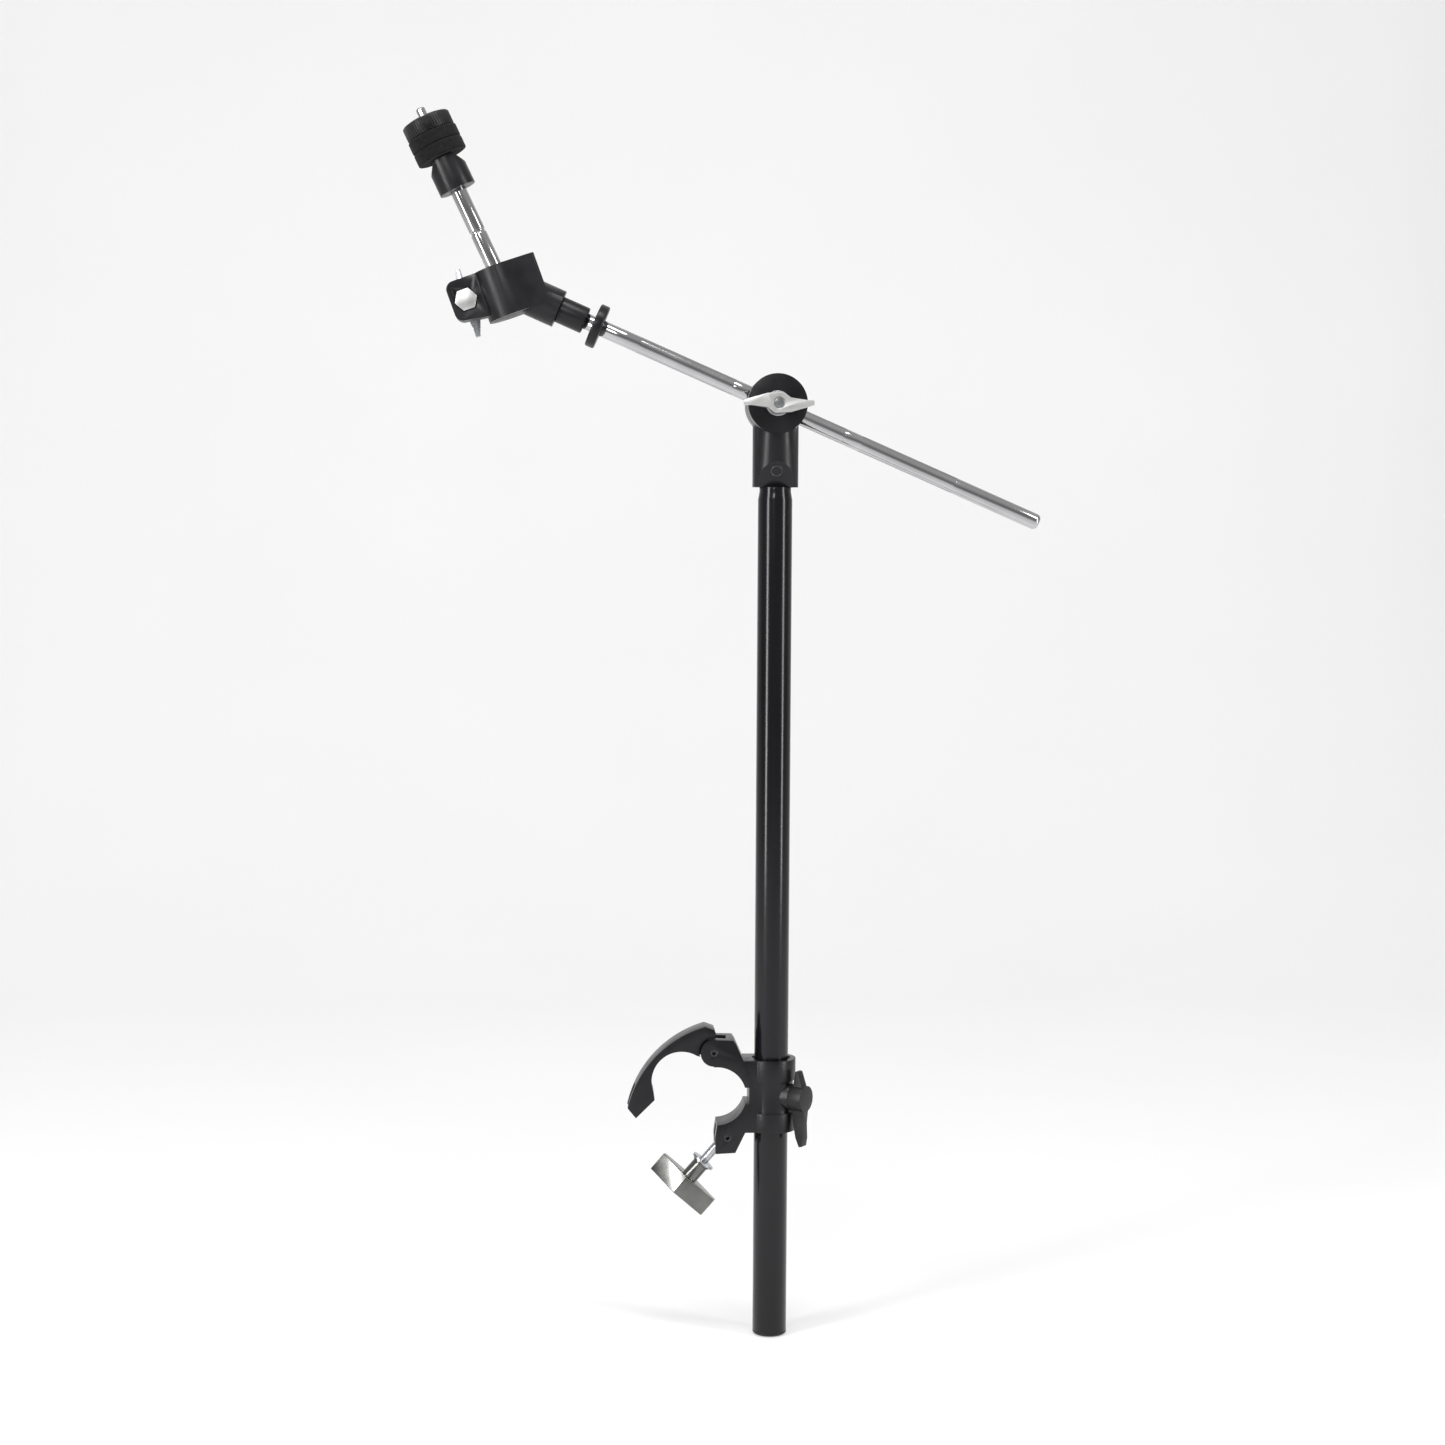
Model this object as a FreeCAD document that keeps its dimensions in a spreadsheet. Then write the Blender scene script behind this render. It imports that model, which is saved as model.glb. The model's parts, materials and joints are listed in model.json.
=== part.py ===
import FreeCAD, Part
import math
import os
import Sketcher

# A boom arm that carries a cymbal over a drum rack.
# A hinged clamp closes round the rack tube and holds an upright pipe. A ratchet tilter on top of the
# pipe holds a knurled boom rod, and a ball clamp at the rod's end holds the short cymbal rod.
# Frame: the origin is the centre of the rack tube's bore, +Y is the tube's axis, +Z is up the pipe.

FAR = 200.0  # longer than any piece that a cutting tool has to pass through
VECTOR = {
    "X": FreeCAD.Vector(1, 0, 0),
    "Y": FreeCAD.Vector(0, 1, 0),
    "Z": FreeCAD.Vector(0, 0, 1),
}

doc = FreeCAD.newDocument("cymbal_boom_arm")
sheet = doc.addObject("Spreadsheet::Sheet", "sizes")


# ---------------------------------------------------------------- sizes and formulas


class Size:
    """A number together with the sheet formula that gives it."""

    def __init__(self, number, formula):
        self.number = number
        self.formula = formula

    def __float__(self):
        return float(self.number)

    def __add__(self, other):
        return Size(float(self) + float(other), f"({self.formula} + {formula_of(other)})")

    def __radd__(self, other):
        return Size(float(other) + float(self), f"({formula_of(other)} + {self.formula})")

    def __sub__(self, other):
        return Size(float(self) - float(other), f"({self.formula} - {formula_of(other)})")

    def __rsub__(self, other):
        return Size(float(other) - float(self), f"({formula_of(other)} - {self.formula})")

    def __mul__(self, other):
        return Size(float(self) * float(other), f"({self.formula} * {formula_of(other)})")

    def __rmul__(self, other):
        return self * other

    def __truediv__(self, other):
        return Size(float(self) / float(other), f"({self.formula} / {formula_of(other)})")

    def __neg__(self):
        return self * -1


def formula_of(value):
    return value.formula if isinstance(value, Size) else repr(float(value))


def sine(angle):
    return Size(math.sin(math.radians(float(angle))), f"sin({formula_of(angle)})")


def cosine(angle):
    return Size(math.cos(math.radians(float(angle))), f"cos({formula_of(angle)})")


def size(alias, number, meaning):
    """Write one driving size into the sheet and return it."""
    size.row += 1
    sheet.set(f"A{size.row}", meaning)
    sheet.set(f"B{size.row}", str(number))
    sheet.setAlias(f"B{size.row}", alias)
    return Size(number, f"sizes.{alias}")


size.row = 0

# fits
run_fit = size("run_fit", 0.06, "radial play of a piece that turns or slides in another")
face_gap = size("face_gap", 0.1, "play between faces that turn on each other")
loose_fit = size("loose_fit", 0.6, "room round a piece that swings past another")

# upright pipe
pipe_offset = size("pipe_offset", 36.0, "pipe axis from the rack tube's axis")
pipe_top = size("pipe_top", 394.5, "pipe's top end above the rack tube's axis")
pipe_below = size("pipe_below", 160.5, "pipe's foot below the rack tube's axis")
pipe_dia = size("pipe_dia", 22.2, "pipe, outside diameter")
pipe_wall = size("pipe_wall", 1.5, "pipe, wall")
neck_dia = size("neck_dia", 20.4, "pipe, diameter of the crimped neck")
neck_height = size("neck_height", 8.0, "height of the crimped neck")
plug_lip = size("plug_lip", 2.0, "end plug, thickness of the lip")
plug_depth = size("plug_depth", 14.0, "end plug, length inside the pipe")

# rack clamp
tube_dia = size("tube_dia", 38.1, "rack tube, diameter")
clamp_width = size("clamp_width", 25.0, "clamp, width along the rack tube")
hinge_x = size("hinge_x", -2.0, "jaw hinge, sideways from the tube's axis")
hinge_z = size("hinge_z", 28.2, "jaw hinge, above the tube's axis")
ear_radius = size("ear_radius", 8.7, "rounded ear round the jaw hinge")
bolt_x = size("bolt_x", 7.2, "swing bolt pin, sideways from the tube's axis")
bolt_z = size("bolt_z", -27.8, "swing bolt pin, height from the tube's axis")
pin_dia = size("pin_dia", 4.6, "spring pins, diameter")
pin_bore = size("pin_bore", 2.6, "spring pins, bore")
sleeve_dia = size("sleeve_dia", 32.0, "clamp's sleeve round the pipe, outside diameter")
sleeve_waist = size("sleeve_waist", 28.8, "sleeve, diameter between its two rings")
sleeve_top = size("sleeve_top", 23.0, "sleeve, top above the tube's axis")
sleeve_foot = size("sleeve_foot", -24.2, "sleeve, foot from the tube's axis")
ring_low = size("ring_low", -11.7, "top of the sleeve's lower ring")
ring_high = size("ring_high", 9.2, "underside of the sleeve's upper ring")
liner_wall = size("liner_wall", 1.35, "pipe liner, wall")
liner_slit = size("liner_slit", 2.0, "pipe liner, width of the slit")
notch_height = size("notch_height", 11.0, "relief notch in the saddle, height")
notch_depth = size("notch_depth", 2.0, "relief notch in the saddle, depth")

# jaw
jaw_open = size("jaw_open", 52.0, "angle that the jaw stands open")
jaw_width = size("jaw_width", 18.0, "jaw, width along the rack tube")
tongue_width = size("tongue_width", 10.0, "jaw, width of the tongue between the ears")
tongue_radius = size("tongue_radius", 7.6, "jaw, radius of the tongue's eye")
fork_width = size("fork_width", 8.4, "jaw, slot in the tip for the swing bolt")
jaw_grip = size("jaw_grip", 0.3, "jaw's inner arc over the tube's radius")
jaw_reach = size("jaw_reach", 55.9, "jaw, from the hinge out to the tip")
jaw_drop = size("jaw_drop", 36.7, "jaw, from the hinge down to the tip's back corner")
jaw_back = size("jaw_back", 16.8, "jaw, height of the heel over the hinge")
jaw_curve = size("jaw_curve", 72.0, "jaw, radius of the back")

# swing bolt and knob
bolt_lean = size("bolt_lean", 220.9, "swing bolt, angle from straight up")
bolt_dia = size("bolt_dia", 6.0, "swing bolt, thread diameter")
bolt_reach = size("bolt_reach", 45.0, "swing bolt, pin to tip")
eye_dia = size("eye_dia", 12.4, "swing bolt, eye diameter")
eye_width = size("eye_width", 7.8, "swing bolt, eye width")
flange_at = size("flange_at", 22.9, "knob's washer, distance from the pin")
flange_dia = size("flange_dia", 16.2, "knob's washer, diameter")
flange_thick = size("flange_thick", 1.6, "knob's washer, thickness")
screw_room = size("screw_room", 3.4, "knob, free bore past the swing bolt's tip")
knob_neck = size("knob_neck", 12.5, "knob, length of the neck")
knob_neck_dia = size("knob_neck_dia", 10.8, "knob, diameter of the neck")
knob_length = size("knob_length", 44.6, "knob, length of the grip")
knob_depth = size("knob_depth", 21.0, "knob, width of the grip")
knob_end = size("knob_end", 6.0, "knob, width of the grip's ends")
knob_thick = size("knob_thick", 13.2, "knob, thickness of the grip")
knob_turned = size("knob_turned", 16.0, "knob, turned round its own axis")

# wing bolt in the sleeve
boss_turn = size("boss_turn", -35.0, "wing bolt, turned round the pipe from straight sideways")
wing_z = size("wing_z", -1.5, "wing bolt, height from the tube's axis")
boss_dia = size("boss_dia", 17.2, "boss for the wing bolt, diameter")
boss_reach = size("boss_reach", 17.1, "boss, from the pipe's axis to its face")
insert_dia = size("insert_dia", 12.0, "threaded insert, outside diameter")
insert_length = size("insert_length", 3.0, "threaded insert, length")
stud_dia = size("stud_dia", 8.0, "wing bolt, thread diameter")
pad_thick = size("pad_thick", 1.3, "pressure pad, thickness")
wing_hub = size("wing_hub", 9.6, "wing, length of the hub")
wing_hub_dia = size("wing_hub_dia", 17.0, "wing, diameter of the hub")
wing_up = size("wing_up", 17.8, "wing, reach of the short blade")
wing_down = size("wing_down", 31.6, "wing, reach of the long blade")
wing_thick = size("wing_thick", 6.4, "wing, thickness of the blades")
wing_turn = size("wing_turn", 0.0, "wing, turned round the bolt")

# tilter
socket_dia = size("socket_dia", 29.6, "tilter socket, diameter")
spigot_length = size("spigot_length", 22.0, "tilter socket, spigot inside the pipe")
facet_height = size("facet_height", 16.6, "flat facet on the socket, height")
mark_radius = size("mark_radius", 3.5, "ring on the facet, radius")
mark_wire = size("mark_wire", 0.5, "ring on the facet, half its wire's thickness")
mark_up = size("mark_up", 10.1, "ring on the facet, centre over the socket's foot")
facet_depth = size("facet_depth", 9.2, "flat facet on the socket, depth at the foot")
tilter_side = size("tilter_side", 0.0, "tilter axis, sideways from the pipe's axis")
tilter_rise = size("tilter_rise", 52.7, "tilter axis above the pipe's top")
disc_dia = size("disc_dia", 38.0, "tilter discs, diameter")
head_front = size("head_front", -20.0, "front of the fixed disc")
head_back = size("head_back", -8.0, "back of the fixed disc")
shoulder_rise = size("shoulder_rise", 29.5, "socket under the boom's path, height")
shoulder_back = size("shoulder_back", 2.2, "back of the socket's tall part")
holder_thick = size("holder_thick", 24.5, "boom holder, thickness")
boom_y = size("boom_y", 8.0, "boom axis behind the pipe's axis")
boom_fall = size("boom_fall", 23.4, "boom, slope from level")
bush_wall = size("bush_wall", 1.7, "split bush round the boom, wall")
bush_length = size("bush_length", 33.0, "split bush, length")
bush_slit = size("bush_slit", 1.6, "split bush, width of the slit")
eye_wall = size("eye_wall", 3.1, "tilter eye bolt, wall of the eye")
ring_width = size("ring_width", 9.0, "tilter eye bolt, width of the eye")
tee_dia = size("tee_dia", 6.0, "tilter eye bolt, thread diameter")
tee_reach = size("tee_reach", 37.4, "tilter eye bolt, boom axis to tip")
washer_dia = size("washer_dia", 16.0, "washers under the wing nuts, diameter")
washer_thick = size("washer_thick", 1.4, "washers under the wing nuts, thickness")
nut_length = size("nut_length", 44.7, "tilter wing nut, tip to tip")
nut_hub = size("nut_hub", 15.0, "tilter wing nut, foot diameter")
nut_height = size("nut_height", 8.4, "tilter wing nut, height")
nut_mouth = size("nut_mouth", 7.6, "wing nuts, diameter of the widened mouth")
nut_mouth_depth = size("nut_mouth_depth", 2.4, "wing nuts, depth of the widened mouth")

# boom rod
rod_dia = size("rod_dia", 10.5, "boom rod and cymbal rod, diameter")
boom_right = size("boom_right", 187.7, "boom rod, tilter to the free end")
boom_left = size("boom_left", 133.0, "boom rod, tilter to the shoulder at the coupling")
boom_stud = size("boom_stud", 13.0, "boom rod, length of the threaded end")
boom_stud_dia = size("boom_stud_dia", 8.0, "boom rod, diameter of the threaded end")
knurl_length = size("knurl_length", 67.5, "knurled bands, length")
knurl_gap = size("knurl_gap", 10.8, "smooth gap between the knurled bands")
knurl_start = size("knurl_start", -96.3, "first knurled band, from the tilter")
knurl_relief = size("knurl_relief", 0.25, "knurled bands, depth under the rod's skin")
end_chamfer = size("end_chamfer", 1.6, "chamfer on the rod's free end")
pin_from_end = size("pin_from_end", 6.0, "stop pin, from the free end")
stop_pin_dia = size("stop_pin_dia", 3.2, "stop pin, diameter")
pin_turn = size("pin_turn", -50, "stop pin, turned round the rod (degrees)")
ring_dia = size("ring_dia", 28.5, "lock ring, diameter")
ring_thick = size("ring_thick", 6.2, "lock ring, thickness")
ring_at = size("ring_at", 124.8, "lock ring, tilter to its middle")

# ball clamp
coupling_dia = size("coupling_dia", 17.2, "coupling, diameter")
coupling_end = size("coupling_end", 151.5, "coupling, tilter to its seat in the ball clamp")
coupling_spigot = size("coupling_spigot", 12.0, "coupling, spigot diameter")
socket_wall_dia = size("socket_wall_dia", 24.4, "ball clamp, boss round the coupling")
ball_back = size("ball_back", 187.3, "ball centre along the boom, from the tilter")
ball_drop = size("ball_drop", 3.5, "ball centre under the boom's axis")
head_lean = size("head_lean", -20.0, "ball clamp, lean from upright")
collar_dia = size("collar_dia", 33.0, "ball clamp, collar diameter")
collar_up = size("collar_up", 16.5, "ball clamp, top over the ball's centre")
collar_down = size("collar_down", 16.0, "ball clamp, foot under the ball's centre")
block_reach = size("block_reach", 25.0, "ball clamp, flat side from the ball's centre")
ear_reach = size("ear_reach", 35.5, "ball clamp, ears from the ball's centre")
ear_half = size("ear_half", 8.0, "ball clamp, half thickness of both ears")
ear_foot = size("ear_foot", -9.6, "ball clamp, foot of the ears")
ear_corner = size("ear_corner", 5.5, "ball clamp, corner radius of the ears")
slit_width = size("slit_width", 2.4, "ball clamp, slit between the ears")
draw_u = size("draw_u", -25.5, "draw bolt, sideways from the ball's centre")
draw_w = size("draw_w", 2.8, "draw bolt, above the ball's centre")
hex_flats = size("hex_flats", 13.0, "draw bolt, head across flats")
hex_height = size("hex_height", 4.0, "draw bolt, head height")
hex_recess = size("hex_recess", 3.0, "depth of the recess for the bolt's head")
rear_length = size("rear_length", 44.6, "rear wing nut, tip to tip")
rear_neck = size("rear_neck", 5.4, "rear wing nut, neck that lifts its blades over the collar")
rear_turn = size("rear_turn", 2.7, "rear wing nut, turned from the clamp's upright")
ball_dia = size("ball_dia", 24.0, "ball, diameter")
seat_dia = size("seat_dia", 28.0, "ball seat, outside diameter")
seat_half = size("seat_half", 7.8, "ball seat, half height")
plug_thick = size("plug_thick", 3.4, "plug under the ball, thickness")
mouth_low = size("mouth_low", 10.6, "radius of the rod's mouth at the seat")
mouth_high = size("mouth_high", 12.8, "radius of the rod's mouth at the top")

# cymbal rod
cymbal_lean = size("cymbal_lean", -25.4, "cymbal rod, lean from upright")
rod_seat = size("rod_seat", 10.0, "rod's shoulder on the ball, from the ball's centre")
ball_thread = size("ball_thread", 8.0, "thread between rod and ball")
stop_at = size("stop_at", 70.7, "cymbal stopper, from the ball's centre")
stop_dia = size("stop_dia", 24.0, "cymbal stopper, diameter")
stop_side = size("stop_side", 13.8, "cymbal stopper, height of the round side")
stop_height = size("stop_height", 22.1, "cymbal stopper, whole height")
stop_ridge = size("stop_ridge", 12.2, "cymbal stopper, width at the top")
grub_dia = size("grub_dia", 5.0, "stopper's set screw, diameter")
groove_at = size("groove_at", 41.0, "groove round the cymbal rod")
groove_width = size("groove_width", 2.4, "width of that groove")
groove_depth = size("groove_depth", 0.6, "depth of that groove")
top_thread = size("top_thread", 6.0, "cymbal stud, diameter")
stud_end = size("stud_end", 126.9, "cymbal stud, tip from the ball's centre")
felt_dia = size("felt_dia", 33.0, "felts, diameter")
felt_thick = size("felt_thick", 8.3, "each felt, thickness")
tube_wall = size("tube_wall", 2.4, "cymbal sleeve, wall")
felt_bore_gap = size("felt_bore_gap", 0.35, "felt's hole over the cymbal sleeve")
top_nut_dia = size("top_nut_dia", 31.7, "cymbal nut, diameter")
top_nut_height = size("top_nut_height", 11.4, "cymbal nut, height")
top_nut_dome = size("top_nut_dome", 2.4, "cymbal nut, height of the dome")
core_dia = size("core_dia", 10.0, "cymbal nut's metal core, diameter")
core_height = size("core_height", 8.0, "cymbal nut's metal core, height")

doc.recompute()


# ---------------------------------------------------------------- building blocks


def bind(thing, name, value):
    """Set a property and, where it comes from the sheet, keep it tied to the sheet."""
    setattr(thing, name, float(value))
    if isinstance(value, Size):
        thing.setExpression(name, value.formula)


def place(thing, base=(0, 0, 0), axis="Z", angle=0):
    """Put an object in its place and tie the place to the sheet."""
    turn = FreeCAD.Rotation(VECTOR[axis], float(angle))
    thing.Placement = FreeCAD.Placement(FreeCAD.Vector(*[float(part) for part in base]), turn)
    for letter, value in zip("xyz", base):
        if isinstance(value, Size):
            thing.setExpression(f"Placement.Base.{letter}", value.formula)
    if isinstance(angle, Size):
        thing.setExpression("Placement.Rotation.Angle", angle.formula)
    return thing


def rod(name, radius, start, length, axis="Z", at=(0, 0)):
    """A solid cylinder along X, Y or Z, which starts at `start` on that axis."""
    thing = doc.addObject("Part::Cylinder", name)
    bind(thing, "Radius", radius)
    bind(thing, "Height", length)
    first, second = at
    if axis == "X":
        return place(thing, (start, first, second), "Y", 90)
    if axis == "Y":
        return place(thing, (first, start, second), "X", -90)
    return place(thing, (first, second, start))


def block(name, low, lengths):
    thing = doc.addObject("Part::Box", name)
    for side, value in zip(("Length", "Width", "Height"), lengths):
        bind(thing, side, value)
    return place(thing, low)


def cone(name, low_radius, high_radius, start, length):
    thing = doc.addObject("Part::Cone", name)
    bind(thing, "Radius1", low_radius)
    bind(thing, "Radius2", high_radius)
    bind(thing, "Height", length)
    return place(thing, (0, 0, start))


def join(name, *pieces):
    thing = doc.addObject("Part::MultiFuse", name)
    thing.Shapes = list(pieces)
    thing.Refine = True
    return thing


def carry(name, piece):
    """Take a placed piece as it stands, so that the result can be placed again."""
    thing = doc.addObject("Part::Compound", name)
    thing.Links = [piece]
    return thing


def overlap(name, *pieces):
    thing = doc.addObject("Part::MultiCommon", name)
    thing.Shapes = list(pieces)
    return thing


def cut(name, base, *tools):
    """Take the tools off the base, one boolean each."""
    for number, tool in enumerate(tools, 1):
        last = number == len(tools)
        thing = doc.addObject("Part::Cut", name if last else f"{name}_step{number}")
        thing.Base = base
        thing.Tool = tool
        base = thing
    return base


def short_arc(start, end, radius):
    """The short arc from start to end and which of its ends comes first on the way round.

    A radius over zero bulges to the left. An arc in a sketch runs anticlockwise, so one that
    bulges to the left is drawn backwards.
    """
    way = end - start
    half = way.Length / 2
    left = FreeCAD.Vector(-way.y, way.x, 0).normalize()
    away = math.copysign(math.sqrt(radius**2 - half**2), radius)
    centre = (start + end) / 2 - left * away
    first, last = (end, start) if radius > 0 else (start, end)
    angles = [math.atan2(point.y - centre.y, point.x - centre.x) for point in (first, last)]
    circle = Part.Circle(centre, FreeCAD.Vector(0, 0, 1), abs(radius))
    return Part.ArcOfCircle(circle, *angles), (2, 1) if radius > 0 else (1, 2)


def draw(body, plane, corners):
    """Draw a closed outline whose corners are tied to the sheet.

    A corner is (across, up). With a third value, the side that leaves it is a short arc of that
    radius, which bulges to the left of the way round, or to the right if the value is negative.
    """
    sketch = body.newObject("Sketcher::SketchObject", f"{body.Name}_outline")
    origin = [part for part in body.Origin.OriginFeatures if part.Role == f"{plane}_Plane"][0]
    sketch.AttachmentSupport = [(origin, "")]
    sketch.MapMode = "FlatFace"
    points = [FreeCAD.Vector(float(corner[0]), float(corner[1]), 0) for corner in corners]
    count = len(corners)
    ends = []
    for number, corner in enumerate(corners):
        start, end = points[number], points[(number + 1) % count]
        if len(corner) == 2:
            sketch.addGeometry(Part.LineSegment(start, end), False)
            ends.append((1, 2))
        else:
            arc, order = short_arc(start, end, float(corner[2]))
            sketch.addGeometry(arc, False)
            ends.append(order)
    for number in range(count):
        after = (number + 1) % count
        sketch.addConstraint(
            Sketcher.Constraint("Coincident", number, ends[number][1], after, ends[after][0])
        )
    for number, corner in enumerate(corners):
        for kind, value in zip(("DistanceX", "DistanceY"), corner):
            tie(sketch, kind, (-1, 1, number, ends[number][0]), value)
        if len(corner) == 3:
            radius = corner[2] if float(corner[2]) > 0 else -corner[2]
            tie(sketch, "Radius", (number,), radius)
    return sketch


def tie(sketch, kind, where, value):
    number = sketch.addConstraint(Sketcher.Constraint(kind, *where, float(value)))
    if isinstance(value, Size):
        sketch.setExpression(f"Constraints[{number}]", value.formula)


def turned(name, corners):
    """A piece made on a lathe: (radius, height) corners turned round Z."""
    body = doc.addObject("PartDesign::Body", name)
    sketch = draw(body, "XZ", corners)
    doc.recompute()
    feature = body.newObject("PartDesign::Revolution", f"{name}_turned")
    feature.Profile = sketch
    feature.ReferenceAxis = (sketch, ["V_Axis"])
    feature.Angle = 360
    return body


def plate(name, plane, corners, thickness):
    """An outline padded to both sides of its plane."""
    body = doc.addObject("PartDesign::Body", name)
    sketch = draw(body, plane, corners)
    doc.recompute()
    feature = body.newObject("PartDesign::Pad", f"{name}_pad")
    feature.Profile = sketch
    feature.SideType = "Symmetric"
    bind(feature, "Length", thickness)
    return body


def tube(inner, outer, low, high):
    return [(inner, low), (outer, low), (outer, high), (inner, high)]


def rolled_pin(name, diameter, bore, length, at):
    """A hollow spring pin along Y, centred on the clamp."""
    skin = rod(f"{name}_skin", diameter / 2, -length / 2, length, "Y", at)
    core = rod(f"{name}_core", bore / 2, -length, length * 2, "Y", at)
    return cut(name, skin, core)


# ---------------------------------------------------------------- rack clamp

tube_radius = tube_dia / 2
half_clamp = clamp_width / 2
liner_outer = pipe_dia / 2 + run_fit + liner_wall
sleeve_bore = liner_outer + run_fit
hinge = (hinge_x, hinge_z)
pivot = (bolt_x, bolt_z)


def on_sleeve(thing):
    """Turn a piece made along X, from the pipe's axis, to the wing bolt's side of the sleeve."""
    return place(thing, (pipe_offset, 0, wing_z), "Z", boss_turn)


def make_clamp_body():
    """Casting: two pairs of ears, a saddle for the rack tube and a sleeve for the pipe."""
    crown = hinge_z + ear_radius
    web = plate(
        "clamp_web",
        "XZ",
        [
            (hinge_x, crown),
            (hinge_x + 12.6, crown - 0.4),
            (hinge_x + 14.2, crown - 2.6),
            (hinge_x + 19.3, sleeve_top),
            (pipe_offset, sleeve_top),
            (pipe_offset, sleeve_foot),
            (bolt_x + 11.4, sleeve_foot),
            (bolt_x + 5.0, bolt_z - 9.6),
            (bolt_x - 7.8, bolt_z - 10.3),
            (bolt_x - 8.2, bolt_z),
            (bolt_x - 7.0, -tube_radius - 0.5),
            (hinge_x, 0),
            (hinge_x, hinge_z - ear_radius),
        ],
        clamp_width,
    )
    ear = rod("clamp_ear", ear_radius, -half_clamp, clamp_width, "Y", hinge)
    pipe_axis = (pipe_offset, 0)
    waist_height = sleeve_top - sleeve_foot
    waist = rod("clamp_waist", sleeve_waist / 2, sleeve_foot, waist_height, "Z", pipe_axis)
    low_height = ring_low - sleeve_foot
    high_height = sleeve_top - ring_high
    low = rod("clamp_low_ring", sleeve_dia / 2, sleeve_foot, low_height, "Z", pipe_axis)
    high = rod("clamp_high_ring", sleeve_dia / 2, ring_high, high_height, "Z", pipe_axis)
    boss = on_sleeve(carry("clamp_boss", rod("clamp_boss_rod", boss_dia / 2, 0, boss_reach, "X")))
    casting = join("clamp_casting", web, ear, waist, low, high, boss)
    insert_face = boss_reach - insert_length
    insert_room = rod("clamp_insert_room", insert_dia / 2, insert_face, FAR, "X")
    pad_room = rod("clamp_pad_room", stud_dia / 2 + loose_fit / 2, 0, FAR, "X")
    return cut(
        "clamp_body",
        casting,
        rod("clamp_tube_bore", tube_radius, -clamp_width, clamp_width * 2, "Y"),
        rod("clamp_pipe_bore", sleeve_bore, -FAR / 2, FAR, "Z", pipe_axis),
        block(
            "clamp_notch",
            (0, -clamp_width, -notch_height / 2),
            (tube_radius + notch_depth, clamp_width * 2, notch_height),
        ),
        block(
            "clamp_jaw_slot",
            (hinge_x - 20, -tongue_width / 2 - loose_fit / 2, hinge_z - ear_radius - 4),
            (20 + tongue_radius + loose_fit, tongue_width + loose_fit, ear_radius * 2 + 10),
        ),
        block(
            "clamp_bolt_slot",
            (bolt_x - 20, -eye_width / 2 - loose_fit / 2, bolt_z - 20),
            (20 + eye_dia / 2 + loose_fit, eye_width + loose_fit, 20 + eye_dia / 2 + loose_fit),
        ),
        rod("clamp_hinge_hole", pin_dia / 2, -clamp_width, clamp_width * 2, "Y", hinge),
        rod("clamp_pivot_hole", pin_dia / 2, -clamp_width, clamp_width * 2, "Y", pivot),
        on_sleeve(carry("clamp_insert_hole", insert_room)),
        on_sleeve(carry("clamp_pad_hole", pad_room)),
    )


def make_jaw():
    """Hook that closes round the tube; a fork in its tip takes the swing bolt."""
    grip = tube_radius + jaw_grip
    # the arc's centre is the tube's centre, swung back about the hinge
    centre_x = -hinge_x * cosine(jaw_open) - hinge_z * sine(jaw_open)
    centre_z = hinge_x * sine(jaw_open) - hinge_z * cosine(jaw_open)

    def on_grip(angle):
        return centre_x + grip * cosine(angle), centre_z + grip * sine(angle)

    hook = plate(
        "jaw_hook",
        "XZ",
        [
            (1.6, 11.4),
            (0.3, jaw_back - 2.2),
            (-5.8, jaw_back, -jaw_curve),
            (-jaw_reach, -jaw_drop),
            (-jaw_reach + 5.4, -jaw_drop - 6.6),
            (-jaw_reach + 17.6, -jaw_drop + 5.4),
            (*on_grip(200), grip),
            (*on_grip(130), grip),
            (*on_grip(60),),
            (-6.0, -4.0),
            (0, 2.0),
        ],
        jaw_width,
    )
    ring = rod("jaw_ring_cut", ear_radius + loose_fit, -jaw_width, jaw_width * 2, "Y")
    wide = cut("jaw_wide", hook, ring)
    web = plate(
        "jaw_web",
        "XZ",
        [(-1.0, 7.0), (-13.0, 9.0), (-14.5, 1.0), (-6.5, -3.4)],
        tongue_width,
    )
    tongue = rod("jaw_tongue", tongue_radius, -tongue_width / 2, tongue_width, "Y")
    whole = join("jaw_whole", wide, web, tongue)
    fork = plate(
        "jaw_fork",
        "XZ",
        [
            (-jaw_reach + 15.6, -jaw_drop + 3.4),
            (-jaw_reach - 3.0, -jaw_drop + 22.0),
            (-jaw_reach - 22.0, -jaw_drop),
            (-jaw_reach, -jaw_drop - 22.0),
        ],
        fork_width,
    )
    bore = rod("jaw_bore", pin_dia / 2 + run_fit, -jaw_width, jaw_width * 2, "Y")
    jaw = cut("clamp_jaw", whole, fork, bore)
    return place(jaw, (hinge_x, 0, hinge_z))


def make_clamp_pins():
    hinge_pin = rolled_pin("jaw_hinge_pin", pin_dia, pin_bore, clamp_width, hinge)
    pivot_pin = rolled_pin("swing_bolt_pin", pin_dia, pin_bore, clamp_width, pivot)
    return hinge_pin, pivot_pin


def on_bolt(thing):
    """Stand a piece made along Z on the swing bolt's line."""
    return place(thing, (bolt_x, 0, bolt_z), "Y", bolt_lean)


def make_swing_bolt():
    eye = rod("swing_bolt_eye", eye_dia / 2, -eye_width / 2, eye_width, "Y")
    shank = rod("swing_bolt_shank", bolt_dia / 2, 0, bolt_reach)
    hole = rod("swing_bolt_hole", pin_dia / 2 + run_fit, -eye_width, eye_width * 2, "Y")
    return on_bolt(cut("swing_bolt", join("swing_bolt_blank", eye, shank), hole))


def make_knob_washer():
    corners = tube(bolt_dia / 2 + run_fit, flange_dia / 2, flange_at, flange_at + flange_thick)
    return on_bolt(turned("knob_washer", corners))


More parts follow.
